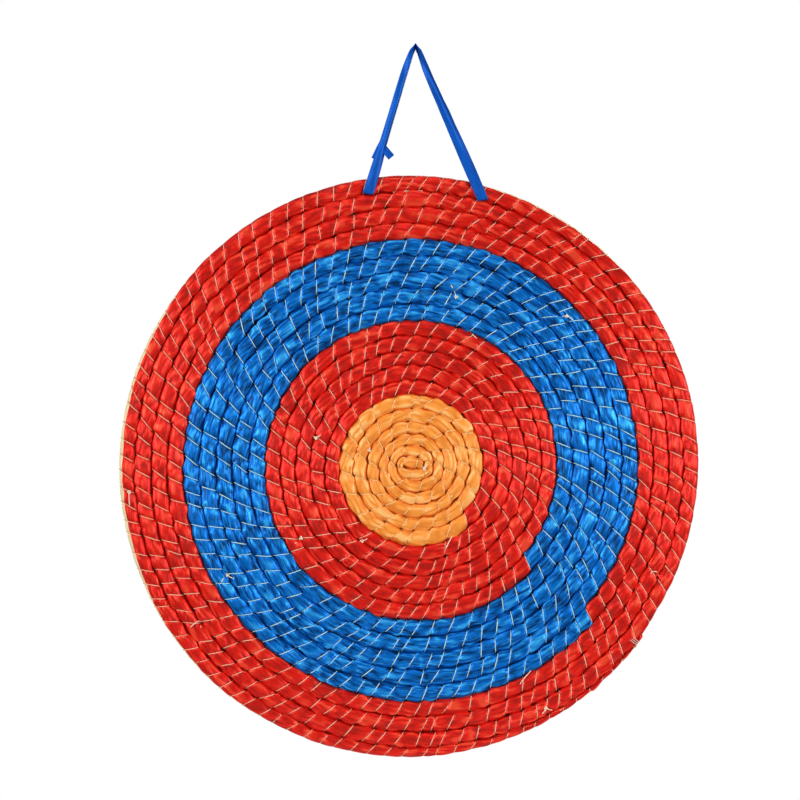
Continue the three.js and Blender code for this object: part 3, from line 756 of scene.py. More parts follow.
@cache
def twine(kind="plain"):
    """Two-ply cotton twine: matt and hairy, with painted shade in the grooves between its plies, and tinted
    on its front with painted bounce light from the cloth.
    """
    n = new_material(f"cotton_twine_{kind}")
    plain_rgb = linear(TWINE_AND_BOUNCE["plain"])
    ply = n.wave(0.34, 0.4, math.radians(38))
    hairs, patches = n.noise(2.0, 0.25, 3.0), n.noise(6, 4)
    base = n.layers(
        shade(plain_rgb),
        # painted bounce light from the cloth on the twine's front
        (n.value("front"), shade(linear(TWINE_AND_BOUNCE[kind]))),
        # painted shade in the grooves between the plies
        (n.ramp(ply, 0.0, 0.6, 0.12, 0), shade(plain_rgb, 0.3)),
        (n.ramp(patches, 0.35, 0.7, 0.0, 0.08), shade(plain_rgb, 0.45)),
    )
    return n.finished(base, n.ramp(hairs, 0.2, 0.8, 0.7, 0.9), (ply, 0.22), (hairs, 0.08), Sheen_Weight=0.2)


@cache
def ribbon_cloth():
    """Polyester satin ribbon: smooth, with fine ribs across, a painted highlight on the crests of its broad
    folds, and painted shade where it is folded back and where it runs into the groove.
    """
    n = new_material("woven_ribbon")
    rgb = painted("ribbon")
    ribs, slubs, folds = n.wave(0.45), n.noise(7, 0.5, 3.0), n.noise(22, 6)
    base = n.layers(
        shade(rgb, 0.8),
        # lighter where the broad folds' bump stands highest: painted highlight on their crests
        (n.ramp(folds, 0.3, 0.7), shade(rgb, 1.15)),
        (n.ramp(slubs, 0.3, 0.45, 0.4, 0.0), shade(rgb, 0.55)),
        # painted shade where the ribbon is folded back and where it runs into the groove
        (n.times(n.value("hidden"), 0.6), shade(rgb, 0.3)),
    )
    bumps = (ribs, 0.03), (slubs, 0.08), (folds, 0.2)
    return n.finished(base, n.ramp(slubs, 0.2, 0.8, 0.4, 0.55), *bumps, Metallic=0.35, Specular_IOR_Level=0.2)


def painted_floor():
    """Pale matt paint that fades out at the floor's rim."""
    n = new_material("painted_floor")
    rgb = painted("floor")
    place = n.add("ShaderNodeTexCoord").outputs["Object"]
    specks = n.add("ShaderNodeTexNoise", {"Vector": place, "Scale": 30.0, "Detail": 3.0})
    far = n.add("ShaderNodeVectorMath", {"Vector": place}, operation="LENGTH").outputs["Value"]
    base = n.layers(shade(rgb, 0.98), (specks, shade(rgb)))
    return n.finished(base, 0.8, Alpha=n.ramp(far, 0.3, 0.6, 1.0, 0.0))


# The pieces


@cache
def plan():
    """The coil and its stitches, worked out once."""
    scene = bpy.context.scene
    coil = Coil(scene.boss_coil, scene.boss_rope)
    return coil, Stitches(coil)


def colour_changes():
    """Lengths along the rope at which each colour starts and ends, each on the nearest stitch."""
    coil, stitches = plan()
    wanted = [coil.length_at(turn) for turn in (coil.gold_end, coil.inner_red_end, coil.blue_end)]
    changes = [float(stitches.places[np.argmin(np.abs(stitches.places - place))]) for place in wanted]
    return [0.0, *changes, float(coil.lengths[-1])]


# The cloth's reach in degrees at each angle of the rim: less where the straw shows
RIM_ANGLES = (0, 38, 46, 60, 76, 82, 136, 148, 165, 200, 210, 245, 256, 360)
RIM_REACHES = (100, 100, 48, 40, 48, 100, 100, 36, 22, 18, 40, 50, 100, 100)


def rim_reach(coil, along):
    """How far round its outer side the cloth reaches at a length along the rope."""
    degrees = np.degrees(coil.sizes.start_angle + FULL_TURN * coil.turn_at(along)) % 360
    full = math.degrees(coil.rope.cloth_reach)
    shown = np.minimum(np.interp(degrees, RIM_ANGLES, RIM_REACHES), full)
    return np.radians(full + (shown - full) * coil.outermost(along))


class BOSS_OT_straw(bpy.types.Operator):
    """Winds the straw rope, in two lengths"""

    bl_idname = "boss.straw"
    bl_label = "Straw rope"

    AROUND = (-178, -158, -138, -118, -100, -75, -45, 0, 45, 75, 100, 118, 138, 158)
    ROWS = {"straw_rope_inner": 7, "straw_rope_outer": 9}  # from stitch to stitch
    STALKS = (((0.02, 1 / 4.2, 5), 0.00035), ((0.008, 1 / 8, 6), 0.0002))  # each kind's pattern and height
    UV_RADIUS = 0.0083
    UNDER_CLOTH = (0.05, 0.25)  # the cosine round the section at which the cloth's lift begins, and its run
    STALKS_END = 0.95  # no stalks at the seams beyond this sine round the section

    def execute(self, context):
        coil, stitches = plan()
        rope = coil.rope
        ends = colour_changes()
        around = np.radians(self.AROUND)
        under_cloth = rise(np.cos(around), *self.UNDER_CLOTH)
        for (name, rows), start, end in zip(self.ROWS.items(), (ends[0], ends[3]), (ends[3], ends[4])):
            stations = Stations(coil, stitches, rows, start, end)
            along = stations.slanted(around)
            near = stations.near(rope.pinch_run)
            stalks = 0
            for pattern, height in self.STALKS:
                stalks = stalks + patterned(pattern, along, around) * height
            stalks = stalks * (1 - near) * (np.abs(np.sin(around)) < self.STALKS_END)
            sunk = coil.pinched(near, around) + rope.cloth_lift * under_cloth - stalks
            skin = Skin()
            skin.grid(
                coil.surface(along, around, sunk=sunk, wider=rope.overlap),
                np.append(along, along[:, :1], axis=1),
                np.append(around, FULL_TURN + around[0]) * self.UV_RADIUS,
                ring=True,
                capped=True,
                # where the material paints shade in the grooves
                groove=coil.groove_share(along, around),
                near=near,
            )
            piece = skin.build(name, straw())
            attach(piece, "boss")
            if start:
                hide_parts("straw_rope")
        return {"FINISHED"}


class BOSS_OT_cloth(bpy.types.Operator):
    """Lays a gathered strip of cloth over the front of the rope for each colour"""

    bl_idname = "boss.cloth"
    bl_label = "Cloth strips"

    ROWS = {"gold": 12, "inner_red": 10, "blue": 9, "outer_red": 8}  # from stitch to stitch
    COLUMNS = (22, 3)  # over the face, and down each side
    FLAT_WIDTH, SPARE_LENGTH = 0.029, 1.02
    # Each pattern's size along the rope, its size across and its first seed
    EDGE, EDGE_STRAY = (0.011, 1, 77), math.radians(5)
    LEAN, LEAN_SHARE = (0.02, 1, 61), 0.10
    PUFFS, PLEATS, PLEAT_LEAN, GATHERS = (0.013, 0.0034, 11), (0.009, 0.0019, 21), 1.5, (0.008, 0.0016, 31)
    BULGES, SKEWS = (0.0085, 1 / 3.5, 71), (0.012, 1, 83)
    GATHER_RUN, FREE_RUN = 0.0042, 0.0009  # how far from a stitch the gathers reach, and the cloth lies flat
    MEAN_CREASE, HEM_RUN, HEM_DEPTH = 0.25, 0.12, 0.0003
    RIM_CALM, RIM_PINCH, RIM_BULGE, RIM_SKEW = 0.75, 0.8, 0.6, 0.85  # how much less each is on the open rim
    RIM_SIDE = (0.6, 0.3)  # the sine round the section at which the open rim begins, and its run
    BULGE_VARIES, SKEW_MEAN, SKEW_VARIES = 0.45, 0.75, 0.5
    # these two set how strongly creases and gathers get painted shade and painted highlight
    FOLD_CREASE, FOLD_GATHER = 1.25, 0.45  # how strongly each colours the folds

    def execute(self, context):
        coil, stitches = plan()
        rope = coil.rope
        ends = colour_changes()
        spread = coil.columns(*self.COLUMNS)[None, :]
        hem = 1 - rise(1 - np.abs(spread), 0, self.HEM_RUN)
        for index, name in enumerate(COLOURS):
            kind = name.split("_")[-1]
            look = CLOTHS[kind]
            stations = Stations(coil, stitches, self.ROWS[name], ends[index], ends[index + 1])
            edge = rim_reach(coil, stations.along) + patterned(self.EDGE, stations.along) * self.EDGE_STRAY
            around = spread * np.where(spread < 0, rope.cloth_reach, edge[:, None])
            along = stations.slanted(around)
            arc = coil.arc(around)
            near = stations.near(rope.pinch_run)
            rim = coil.outermost(along) * (around > 0)
            leaning = arc + along * self.LEAN_SHARE * np.sign(patterned(self.LEAN, along, more=index))
            puffs = np.abs(patterned(self.PUFFS, along, leaning, index))
            pleats = np.abs(patterned(self.PLEATS, along + arc * self.PLEAT_LEAN, arc, index))
            crease = puffs * (1 - look["pleats"]) + pleats * look["pleats"]
            gather = patterned(self.GATHERS, along, arc, index) * stations.near(self.GATHER_RUN)
            height = ((crease - self.MEAN_CREASE) * rope.crease + gather * rope.gather) * look["relief"]
            free = (1 - hem) * (1 - stations.near(self.FREE_RUN))
            free = free * (1 - self.RIM_CALM * rim * rise(np.sin(around), *self.RIM_SIDE))
            sunk = coil.pinched(near, around) - height * free + hem * self.HEM_DEPTH
            sunk = sunk - rim * near * rope.side_pinch * self.RIM_PINCH
            varied = patterned(self.BULGES, along, np.sign(around), index)
            bulge = rope.bulge * look["bulge"] * (1 - self.RIM_BULGE * rim) * (1 + self.BULGE_VARIES * varied)
            strength = self.SKEW_MEAN + self.SKEW_VARIES * patterned(self.SKEWS, stations.along)
            skew = rope.skew * stations.skewed() * strength
            skew = skew[:, None] * np.clip(4 * np.cos(around), 0, 1) * (1 - self.RIM_SKEW * rim)
            skin = Skin()
            skin.grid(
                coil.surface(along, around, sunk=sunk, wider=bulge, tilt=coil.patch_tilt(along), aside=skew),
                along,
                arc,
                # where the material paints shade in the grooves
                groove=coil.groove_share(along, around),
                near=near,
                # the folds' height, which sets their painted shade and painted highlight
                fold=np.clip(crease * self.FOLD_CREASE + gather * self.FOLD_GATHER, 0, 1),
            )
            piece = skin.build(f"{name}_cloth", cloth(kind), shell=False)
            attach(piece, "boss")
            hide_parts(f"{name}_cover")
        return {"FINISHED"}


class BOSS_OT_stitches(bpy.types.Operator):
    """Sews the turns together, one ring of twine for each stitch"""

    bl_idname = "boss.stitches"
    bl_label = "Stitches"

    SEED = 7
    POINTS, SIDES = 16, 5
    LIFT = 0.4  # how far out of the pinch the twine's middle lies, in diameters
    GOLD_SHARE = 0.92  # the gold's twine is drawn thinner
    UNEVEN = (0.88, 1.12)

    def execute(self, context):
        coil, stitches = plan()
        ends = colour_changes()
        random = np.random.default_rng(self.SEED)
        around = np.linspace(0, FULL_TURN, self.POINTS, endpoint=False)
        # the twine's front, where the cloth's painted bounce light tints it
        front = np.clip(np.cos(around) * 3, 0, 1)[:, None]
        sunk = coil.pinched(1.0, around) - coil.rope.twine * self.LIFT
        for index, name in enumerate(COLOURS):
            radius = coil.rope.twine / 2 * (self.GOLD_SHARE if name == "gold" else 1)
            sewn = (stitches.places >= ends[index]) & (stitches.places < ends[index + 1] - TINY)
            slants = stitches.offsets[sewn][:, None] / 2 * coil.section_share(around)
            along_rope = stitches.places[sewn][:, None] - slants
            skin = Skin()
            for row in coil.surface(along_rope, around, sunk=sunk, tilt=coil.patch_tilt(along_rope)):
                ahead, along = course(row, True)
                quarter = self.POINTS // 4
                plane = unit(np.cross(row[quarter] - row[3 * quarter], row[0] - row[2 * quarter]))
                thick = radius * random.uniform(*self.UNEVEN)
                points = rings(row, thick, np.cross(ahead, plane), plane[None], self.SIDES)
                along = along + random.uniform(0, 0.01)
                across = np.linspace(0, FULL_TURN * thick, self.SIDES + 1)
                skin.grid(points, along, across, ring=True, loop=True, front=front)
            piece = skin.build(f"{name}_stitches", twine(name.split("_")[-1]))
            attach(piece, "boss")
        return {"FINISHED"}


# The ribbon


# How far up each leg, how far it has turned there, and how far its halves are folded back, in degrees
LEG_TURNS = {
    "left": (
        (0, 0.09, 0.17, 0.24, 0.32, 0.44, 0.6, 0.78, 0.9, 0.965, 1),
        (0, 0, 5, 10, 15, 18, 25, 42, 59, 67, 86),
        (24, 20, 26, 34, 46, 48, 46, 38, 18, 6, 0),
    ),
    "right": (
        (0, 0.1, 0.17, 0.32, 0.47, 0.55, 0.63, 0.78, 0.86, 0.965, 1),
        (0, 0, 0, 10, 20, 22, 28, 44, 55, 67, 86),
        (26, 18, 12, 20, 30, 28, 36, 32, 18, 6, 0),
    ),
}
LEG_STEPS = 110
LEG_START = 0.0024  # height over the groove at which a leg is straight
LEG_LIFT = 0.0009  # how far the legs' feet stand out in front
BACK_GAP = 0.0003  # between the boss's back and the ribbon
APEX_SQUEEZE = 0.3  # how sharp the ribbon's point over the nail is drawn
APEX_STEPS = 8


class Leg:
    """A leg of the ribbon: where it enters the groove, the groove's direction there, and its top."""

    def __init__(self, coil, sizes, side):
        turn = coil.last_turn(sizes.left_angle if side < 0 else sizes.right_angle)
        before, middle, after = coil.in_space(coil.groove(np.array([turn - 0.001, turn, turn + 0.001])), 0)
        self.entry, self.across = middle, unit(before - after)
        self.across *= np.sign(self.across[0])
        bend = sizes.nail_radius + sizes.thickness / 2
        to_nail = -UPWARD * sizes.nail_radius - self.entry
        reach = np.linalg.norm(to_nail)
        lean = math.asin(bend / reach) * side
        x, _, z = to_nail / reach
        self.up = RIGHT * (x * math.cos(lean) + z * math.sin(lean))
        self.up += UPWARD * (z * math.cos(lean) - x * math.sin(lean))
        self.reach = reach * math.cos(lean)
        self.top = self.entry + self.up * self.reach
        self.level = np.cross(BACKWARD, self.up)

    def stations(self, turns):
        """From the groove up: face on below, folded along its middle, and turned edge on towards the nail."""
        rows = []
        for part in np.arange(LEG_STEPS + 1) / LEG_STEPS:
            to_top = (self.reach - LEG_START) * (1 - part)
            middle = self.top - self.up * to_top
            middle[0] *= np.interp(to_top, [0, 0.002, 0.0065], [APEX_SQUEEZE, 0.5, 1])
            middle[1] -= LEG_LIFT * np.interp(part, [0.13, 0.22], [1, 0])
            turned, folded = (math.radians(np.interp(part, turns[0], values)) for values in turns[1:])
            across = self.level * math.cos(turned) + BACKWARD * math.sin(turned)
            rows.append((middle, across, folded, min(part / 0.07, 1)))
        return rows

    def inwards(self, sizes, behind, sign):
        """From the leg's foot back through the groove and down behind the boss, gathered on the way."""
        inward = np.cross(BACKWARD, self.across)
        between = unit(self.across + self.level)
        line = bend_rows(self.entry, -self.up, BACKWARD, sizes.bend, 5, between)
        for k in range(1, 6):
            place = self.entry + BACKWARD * (sizes.bend + (behind - 2 * sizes.bend) * k / 6)
            line.append((place, unit(between * (5 - k) + self.across * k)))
        line += bend_rows(self.entry + BACKWARD * behind, BACKWARD, inward, sizes.bend, 5, self.across)
        depths = (-LEG_LIFT, 0.0010, behind * 0.5, behind * 0.8)
        rows = []
        for place, across in line:
            place = place - BACKWARD * LEG_LIFT * np.clip(1 - place[1] / 0.003, 0, 1)
            gathered = math.radians(np.interp(place[1], depths, (25, 50, 50, 0)))
            rows.append((place, across * sign, gathered * sign, 0))
        return rows


def bend_rows(corner, before, after, radius, steps, across=None):
    """A quarter bend from one direction to another. The ribbon's width is held, or turns with the bend."""
    rows = []
    for turned in np.linspace(0, math.pi / 2, steps + 1):
        outward = before * math.sin(turned) - after * math.cos(turned) - before + after
        forward = before * math.cos(turned) + after * math.sin(turned)
        rows.append((corner + outward * radius, np.cross(BACKWARD, forward) if across is None else across))
    return rows


def ribbon_rows(coil, sizes):
    """The loop from the left groove over the nail and back: places, width directions, folds and crowns."""
    left, right = Leg(coil, sizes, -1), Leg(coil, sizes, 1)
    behind = coil.sizes.face + coil.sizes.depth + BACK_GAP + sizes.thickness / 2
    nail = -UPWARD * sizes.nail_radius
    start, end = (math.atan2(leg.top[2] - nail[2], leg.top[0]) for leg in (left, right))
    rows = left.stations(LEG_TURNS["left"])
    for step in range(1, APEX_STEPS):
        at = start + (end - start) * step / APEX_STEPS
        round_nail = RIGHT * math.cos(at) * APEX_SQUEEZE + UPWARD * math.sin(at)
        leaning = math.cos(math.radians(LEG_TURNS["left"][1][-1])) * (1 - step / 4)
        place = nail + round_nail * (sizes.nail_radius + sizes.thickness / 2)
        rows.append((place, unit(BACKWARD + RIGHT * leaning), 0, 1))
    for place, across, fold, crown in right.stations(LEG_TURNS["right"])[::-1]:
        rows.append((place, across * [-1, 1, -1], -fold, crown))
    rows += right.inwards(sizes, behind, -1)
    lowest = min(left.entry[2], right.entry[2]) - sizes.back_drop - sizes.back_corner
    for leg, before, after in ((right, -UPWARD, -RIGHT), (left, -RIGHT, UPWARD)):
        corner = np.array([leg.entry[0], behind, lowest])
        rows += [(*row, 0, 1) for row in bend_rows(corner, before, after, sizes.back_corner, 8)]
    return rows + left.inwards(sizes, behind, 1)[::-1], left


# Places across the ribbon, and its thickness there
ACROSS = np.array([-1, -0.8, -0.5, -0.17, 0.17, 0.5, 0.8, 1])
THICK = np.array([0.45, 1, 1, 1, 1, 1, 1, 0.45])
# Where the ribbon gets painted shade in the groove: its front, the run over which the shade darkens, its back
# and its top
GROOVE_FRONT, GROOVE_DARKENS, GROOVE_BACK, GROOVE_HEIGHT = -0.0010, 0.0007, 0.019, -0.115


def ribbon_skin(skin, rows, width, thickness, loop, seed):
    """Adds a flat band with rounded edges and a slight cup. Returns its length."""
    path, across, folded, crowned = (np.array(values, float) for values in zip(*rows))
    folded, crowned = folded[:, None], crowned[:, None]
    for k in range(1, len(across)):
        if across[k] @ across[k - 1] < 0:
            across[k:] *= -1
    ahead, along = course(path, loop)
    across = unit(across - ahead * np.sum(across * ahead, -1, keepdims=True))
    through = np.cross(ahead, across)[:, None]
    ripple = noise(along[: len(path), None] / 0.012, ACROSS * 1.5 + 3, seed) * 0.0002
    cup = ripple + (np.sqrt(ACROSS**2 + 0.02) - 0.45) * width / 2 * np.sin(folded) * crowned
    place = path[:, None] + across[:, None] * (ACROSS * width / 2 * np.cos(folded))[..., None]
    front, back = (place + through * (cup + THICK * side * thickness / 2)[..., None] for side in (1, -1))
    wide = np.concatenate([ACROSS, 2 - ACROSS, [3]]) * width / 2
    # painted shade on the half of the ribbon that is folded back
    inside = rise(ACROSS * np.sign(folded), 0.15, 0.3) * np.clip(np.sin(np.abs(folded)) / 0.6, 0, 1) * crowned
    depth, height = path[:, 1:2], path[:, 2:]
    shaded = (depth < GROOVE_BACK) & (height < GROOVE_HEIGHT)
    # painted shade where the ribbon runs into the groove
    groove_shade = 1.5 * rise(depth, GROOVE_FRONT, GROOVE_DARKENS) * shaded
    hidden = np.maximum(inside, groove_shade)
    skin.grid(
        np.concatenate([front, back[:, ::-1]], 1),
        along,
        wide,
        ring=True,
        loop=loop,
        capped=not loop,
        hidden=np.concatenate([hidden, hidden[:, ::-1]], 1),
    )
    return float(along[-1])


class BOSS_OT_ribbon(bpy.types.Operator):
    """Threads the hanging ribbon through the groove and over the nail, and ties its knot"""

    bl_idname = "boss.ribbon"
    bl_label = "Hanging ribbon"

    SEED, SECOND_SEED, WRAP_SEED, TAIL_SEED = 3, 8, 9, 10
    SECOND_SHARE, WRAP_WIDTH, TAIL_WIDTH = 0.70, 0.0050, 0.0064  # the first is a share of the ribbon's width
    TAIL_REACH, TAIL_DROP = 0.0092, 0.0058

    def execute(self, context):
        coil, _ = plan()
        sizes = context.scene.boss_ribbon
        rows, left = ribbon_rows(coil, sizes)
        skin = Skin()
        total = ribbon_skin(skin, rows, sizes.width, sizes.thickness, True, self.SEED)
        piece = skin.build("ribbon", ribbon_cloth())
        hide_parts("hanging_ribbon", "ribbon_back_run")
        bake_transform(piece)
        self.knot(sizes, left)
        return {"FINISHED"}

    def knot(self, sizes, left):
        """The second layer behind the left leg, the wrap round both, and the cut end that stands out."""
        up, face = left.up, left.level
        second, wrap, tail = [], [], []

        def at(height, aside=0.0, behind=0.0):
            """A place by the leg at a height under the nail."""
            return left.entry + up * ((height - left.entry[2]) / up[2]) + face * aside + BACKWARD * behind

        for part in np.linspace(0, 1, 16):
            turned = math.radians(np.interp(part, [0, 0.4, 1], [44, 18, 8]))
            behind = np.interp(part, [0, 0.3, 1], [0.0028, 0.0008, 0.0006])
            place = at(-0.0845 - 0.0160 * part, -0.0009 - 0.0022 * part, behind)
            second.append((place, face * math.cos(turned) + BACKWARD * math.sin(turned), 0, 0))
        for part in np.linspace(0, 1, 26)[:-1]:
            x = signed_power(np.cos(FULL_TURN * part), 0.55) * 0.0026
            y = signed_power(np.sin(FULL_TURN * part), 0.8) * 0.0011 + 0.0030
            wrap.append((at(-0.0862 - 0.0010 * part, x, y), up, 0, 0))
        outwards = face * self.TAIL_REACH - up * self.TAIL_DROP
        for part in np.linspace(0, 1, 14):
            place = at(-0.0893, 0.0008, 0.0016 - 0.0014 * math.sin(part * 2.2)) + outwards * part
            tail.append((place, unit(up * self.TAIL_REACH + face * self.TAIL_DROP), 0, 0))
        skin = Skin()
        ribbon_skin(skin, second, sizes.width * self.SECOND_SHARE, sizes.thickness, False, self.SECOND_SEED)
        ribbon_skin(skin, wrap, self.WRAP_WIDTH, sizes.thickness, True, self.WRAP_SEED)
        ribbon_skin(skin, tail, self.TAIL_WIDTH, sizes.thickness, False, self.TAIL_SEED)
        piece = skin.build("ribbon_tie", ribbon_cloth())
        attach(piece, "strap")
        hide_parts("ribbon_knot", "ribbon_end")


# The twine's loose ends and lashing


def face_point(x, z, lift):
    """A point on the front, lifted off the cloth, at a place given from the coil's middle."""
    coil, stitches = plan()
    turned = (math.atan2(z, x) - coil.sizes.start_angle) / FULL_TURN % 1
    radius = math.hypot(x, z)
    turn = max(turned + sum(coil.radius(turned + lap) <= radius for lap in range(20)) - 1, 0)
    low, high = coil.radius(turn), coil.radius(turn + 1)
    along = coil.length_at(turn)
    across = float(np.clip((radius - low) / (high - low) * 2 - 1, -0.97, 0.97))
    around = math.asin(abs(across) ** (coil.rope.roundness / 2)) * math.copysign(1, across)
    gap = np.abs(stitches.places - stitches.offsets / 2 * across - along).min()
    sunk = coil.pinched(math.exp(-gap / coil.rope.pinch_run), around) - lift
    y = coil.surface(along, around, sunk=sunk, tilt=coil.patch_tilt(along))[1]
    return coil.in_space(np.array([x, z]), y)


def knot_path(centre, size, turned):
    """A small overhand knot, seen from the front."""
    t = np.linspace(0, FULL_TURN, 26, endpoint=False)
    x, z = np.sin(t) + 2 * np.sin(2 * t), np.cos(t) - 2 * np.cos(2 * t)
    x, z = x * math.cos(turned) - z * math.sin(turned), x * math.sin(turned) + z * math.cos(turned)
    return centre + np.stack([x, -1.1 * np.sin(3 * t), z], -1) * size


# Each knot or loose end: across and up from the coil's middle, then each tail's direction, length and curl
LOOSE_ENDS = (
    ("knot", 0.0382, 0.1453, ((100, 0.0115, 0.45),)),
    ("knot", 0.1341, 0.1289, ((340, 0.006, -0.5), (170, 0.004, 0.5))),
    ("knot", -0.2448, -0.0234, ((268, 0.0115, 0.15),)),
    ("knot", -0.1600, -0.0952, ((210, 0.008, 0.7), (320, 0.007, 0.5))),
    ("knot", -0.0960, -0.0631, ((240, 0.007, -0.6),)),
    ("knot", -0.0830, 0.0234, ((140, 0.006, 0.4), (20, 0.005, 0.5))),
    ("knot", -0.1842, -0.1349, ((200, 0.009, 0.5), (300, 0.006, -0.5))),
    ("knot", -0.0433, -0.0657, ((10, 0.005, 0.5),)),
    ("knot", 0.0519, 0.1142, ((300, 0.006, 0.4),)),
    ("knot", 0.1159, -0.2102, ((330, 0.014, 0.7), (250, 0.006, -0.4))),
    ("cross", 0.1003, -0.1808, ((45, 0.013, 0.1), (225, 0.011, 0.2))),
    ("cross", 0.0329, -0.0649, ((60, 0.009, 0.2), (240, 0.008, 0.1))),
    ("knot", -0.0372, 0.0130, ((100, 0.005, 0.3),)),
    ("knot", 0.0104, -0.0026, ((35, 0.006, 0.5), (300, 0.003, 0.2))),
    ("loop", 0.2136, -0.0960, ((80, 0.010, 2.6),)),
)


class BOSS_OT_loose_ends(bpy.types.Operator):
    """Lays the twine's small knots and loose ends on the face"""

    bl_idname = "boss.loose_ends"
    bl_label = "Knots and loose ends"

    KNOT_SIZE, KNOT_LIFT, TAIL_LIFT = 0.0005, 0.0005, 0.0006
    TAIL_POINTS, SMOOTHINGS, MOST_DIP = 12, 3, 0.0003
    RUN_START, RUN_TURNS, RUN_POINTS, RUN_DEPTH = math.radians(88), 0.017, 16, 0.0030

    def execute(self, context):
        coil, _ = plan()
        radius = coil.rope.twine / 2
        skin = Skin()
        for index, (kind, x, z, tails) in enumerate(LOOSE_ENDS):
            if kind == "knot":
                centre = face_point(x, z, radius * 1.4 + self.KNOT_LIFT)
                tube(skin, knot_path(centre, self.KNOT_SIZE, index * 1.3), radius * 0.8, loop=True)
            for tail in tails:
                tube(skin, self.tail(x, z, *tail, radius * 1.5 + self.TAIL_LIFT), radius * 0.78)
        turn = coil.last_turn(self.RUN_START)
        flat = coil.groove(np.linspace(turn, turn + self.RUN_TURNS, self.RUN_POINTS))
        depth = self.RUN_DEPTH + wavering(np.arange(self.RUN_POINTS) / 4, 3) * 0.0006
        tube(skin, coil.in_space(flat, coil.sizes.face + depth), radius * 0.9)
        piece = skin.build("twine_ends", twine())
        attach(piece, "boss")
        return {"FINISHED"}

    def tail(self, x, z, direction, reach, curl, lift):
        """A loose end that curls over the cloth, and doesn't dip far into its grooves."""
        points = []
        for part in np.linspace(0, 1, self.TAIL_POINTS):
            if points:
                way = math.radians(direction) + curl * part
                step = reach / (self.TAIL_POINTS - 1)
                x, z = x + math.cos(way) * step, z + math.sin(way) * step
            points.append(face_point(x, z, lift))
        points = np.array(points)
        smooth = points[:, 1].copy()
        for _ in range(self.SMOOTHINGS):
            smooth[1:-1] = (smooth[:-2] + smooth[1:-1] + smooth[2:]) / 3
        points[:, 1] = np.minimum(points[:, 1], smooth + self.MOST_DIP)
        return points


class BOSS_OT_lashing(bpy.types.Operator):
    """Winds the twine that binds the rope's outer end to the turn beside it"""

    bl_idname = "boss.lashing"
    bl_label = "End lashing"

    PLACE = math.radians(321.5)
    LOOPS, STEPS, SIDES = 3, 28, 7
    PITCH, STRAY, SUNK = 0.0018, 0.0007, 0.0004

    def execute(self, context):
        coil, _ = plan()
        turn = coil.last_turn(self.PLACE)
        outer = coil.edges(coil.length_at(turn))[1]
        inner = coil.edges(coil.length_at(turn - 1))[0]
        radius = coil.rope.twine / 2
        radial = unit(outer - inner)
        outer = outer + radial * radius
        tangent = np.array([-radial[1], radial[0]])
        t = np.linspace(0, self.LOOPS * FULL_TURN, self.LOOPS * self.STEPS + 1)
        side = signed_power(np.cos(t), 0.75) * np.linalg.norm(outer - inner) / 2
        deep = signed_power(np.sin(t), 0.8) * (coil.sizes.depth / 2 - self.SUNK)
        advance = (t / FULL_TURN - self.LOOPS / 2) * self.PITCH + wavering(t * 0.4, 9) * self.STRAY
        flat = (inner + outer) / 2 + radial * side[:, None] + tangent * advance[:, None]
        path = coil.in_space(flat, coil.sizes.face + coil.sizes.depth / 2 + deep)
        skin = Skin()
        # the lashing's front, where the cloth's painted bounce light tints it
        front = np.clip(-3 * deep / coil.sizes.depth, 0, 1)[:, None]
        tube(skin, path, radius, RIGHT * tangent[0] + UPWARD * tangent[1], self.SIDES, front=front)
        piece = skin.build("lashing_twine", twine("lashing"))
        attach(piece, "boss")
        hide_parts("end_lashing")
        return {"FINISHED"}


# The stage


def placed(name, data, place, target):
    """Adds a lamp or the camera, turned towards a point."""
    obj = bpy.data.objects.new(name, data)
    bpy.context.scene.collection.objects.link(obj)
    obj.location = place
    obj.rotation_euler = (Vector(target) - obj.location).to_track_quat("-Z", "Y").to_euler()
    return obj


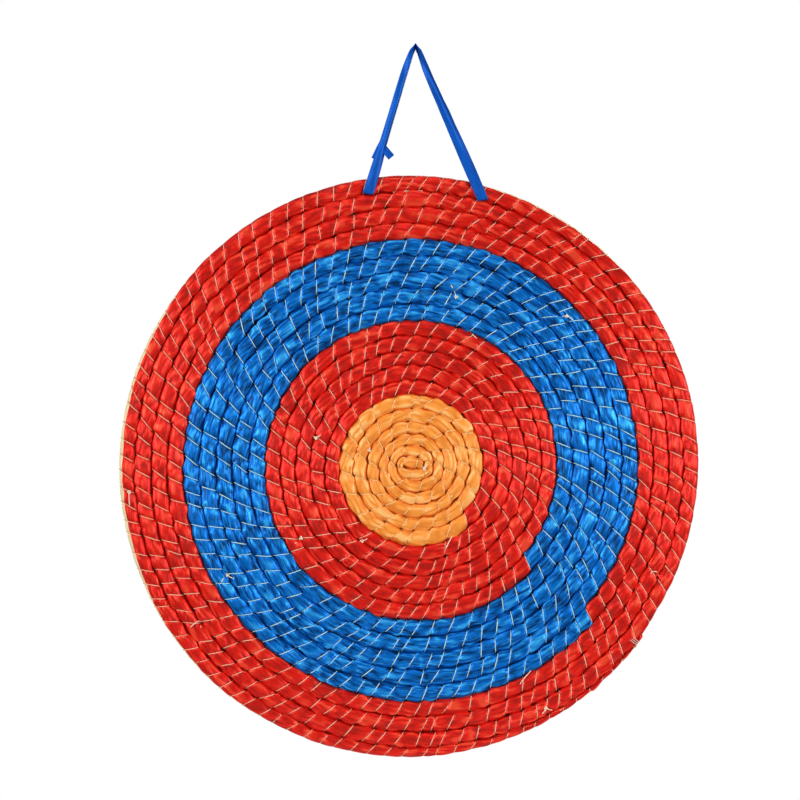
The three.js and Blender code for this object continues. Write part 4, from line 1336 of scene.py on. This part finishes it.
class BOSS_OT_stage(bpy.types.Operator):
    """Sets the floor, the white backdrop, the lamps and the camera"""

    bl_idname = "boss.stage"
    bl_label = "Stage"

    SENSOR = 36  # millimetres
    LAMPS = {  # place from the picture's middle, the property that holds the power, and width
        "lamp_left": ((-1.35, -0.85, 0.25), "side_power", 0.7),
        "lamp_right": ((1.35, -0.85, 0.10), "side_power", 0.7),
        "lamp_top": ((-0.1, -0.75, 1.35), "top_power", 1.2),
        "lamp_back": ((0.3, 1.5, 0.6), "back_power", 1.2),
    }
    LAMP_HEIGHT = 0.9
    RIM_POINTS = 96

    def execute(self, context):
        scene = context.scene
        stage = scene.boss_stage
        bpy.ops.mesh.primitive_circle_add(
            vertices=self.RIM_POINTS,
            radius=stage.floor_radius,
            fill_type="NGON",
            location=(stage.view_x, 0, stage.floor_z),
        )
        floor = context.object
        floor.name = "floor"
        floor.data.materials.append(painted_floor())
        middle = np.array([stage.view_x, 0, stage.view_z])
        for name, (place, power, width) in self.LAMPS.items():
            data = bpy.data.lights.new(name, "AREA")
            data.shape = "RECTANGLE"
            data.size, data.size_y, data.energy = width, self.LAMP_HEIGHT, getattr(stage, power)
            placed(name, data, middle + place, middle)
        data = bpy.data.cameras.new("camera")
        data.sensor_width = self.SENSOR
        data.lens = self.SENSOR * stage.distance / stage.view_width
        scene.camera = placed("camera", data, middle - BACKWARD * stage.distance, middle)
        self.world(scene, stage.fill)
        scene.view_settings.view_transform = "Standard"
        return {"FINISHED"}

    def world(self, scene, fill):
        """White where the camera sees it, and soft even light elsewhere."""
        scene.world = bpy.data.worlds.new("white_backdrop")
        n = Nodes(scene.world)
        n.tree.nodes.clear()
        lit, seen = (n.add("ShaderNodeBackground", {"Color": (1, 1, 1, 1), "Strength": s}) for s in (fill, 1))
        ray = n.add("ShaderNodeLightPath").outputs["Is Camera Ray"]
        n.add("ShaderNodeOutputWorld", {"Surface": n.add("ShaderNodeMixShader", {0: ray, 1: lit, 2: seen})})


class BOSS_PT_panel(bpy.types.Panel):
    """The sizes, the colours and the steps"""

    bl_label = "Archery target boss"
    bl_idname = "BOSS_PT_panel"
    bl_space_type = "VIEW_3D"
    bl_region_type = "UI"
    bl_category = "Boss"

    def draw(self, context):
        for key, group in GROUPS.items():
            box = self.layout.box()
            box.label(text=group.__doc__)
            for name in group.__annotations__:
                box.prop(getattr(context.scene, key), name)
        for operator in STEPS:
            self.layout.operator(operator.bl_idname)


STEPS = (
    BOSS_OT_straw,
    BOSS_OT_cloth,
    BOSS_OT_stitches,
    BOSS_OT_loose_ends,
    BOSS_OT_lashing,
    BOSS_OT_ribbon,
    BOSS_OT_stage,
)


def register():
    for kind in (*GROUPS.values(), *STEPS, BOSS_PT_panel):
        bpy.utils.register_class(kind)
    for key, group in GROUPS.items():
        setattr(bpy.types.Scene, key, PointerProperty(type=group))


def unregister():
    for key in GROUPS:
        delattr(bpy.types.Scene, key)
    for kind in (BOSS_PT_panel, *STEPS[::-1], *list(GROUPS.values())[::-1]):
        bpy.utils.unregister_class(kind)


def main():
    """Builds the boss, step by step."""
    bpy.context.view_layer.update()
    register()
    bpy.ops.object.select_all(action="DESELECT")
    bpy.ops.boss.straw()
    bpy.ops.boss.cloth()
    bpy.ops.boss.stitches()
    bpy.ops.boss.loose_ends()
    bpy.ops.boss.lashing()
    bpy.ops.boss.ribbon()
    bpy.ops.boss.stage()


if __name__ == "__main__":
    main()
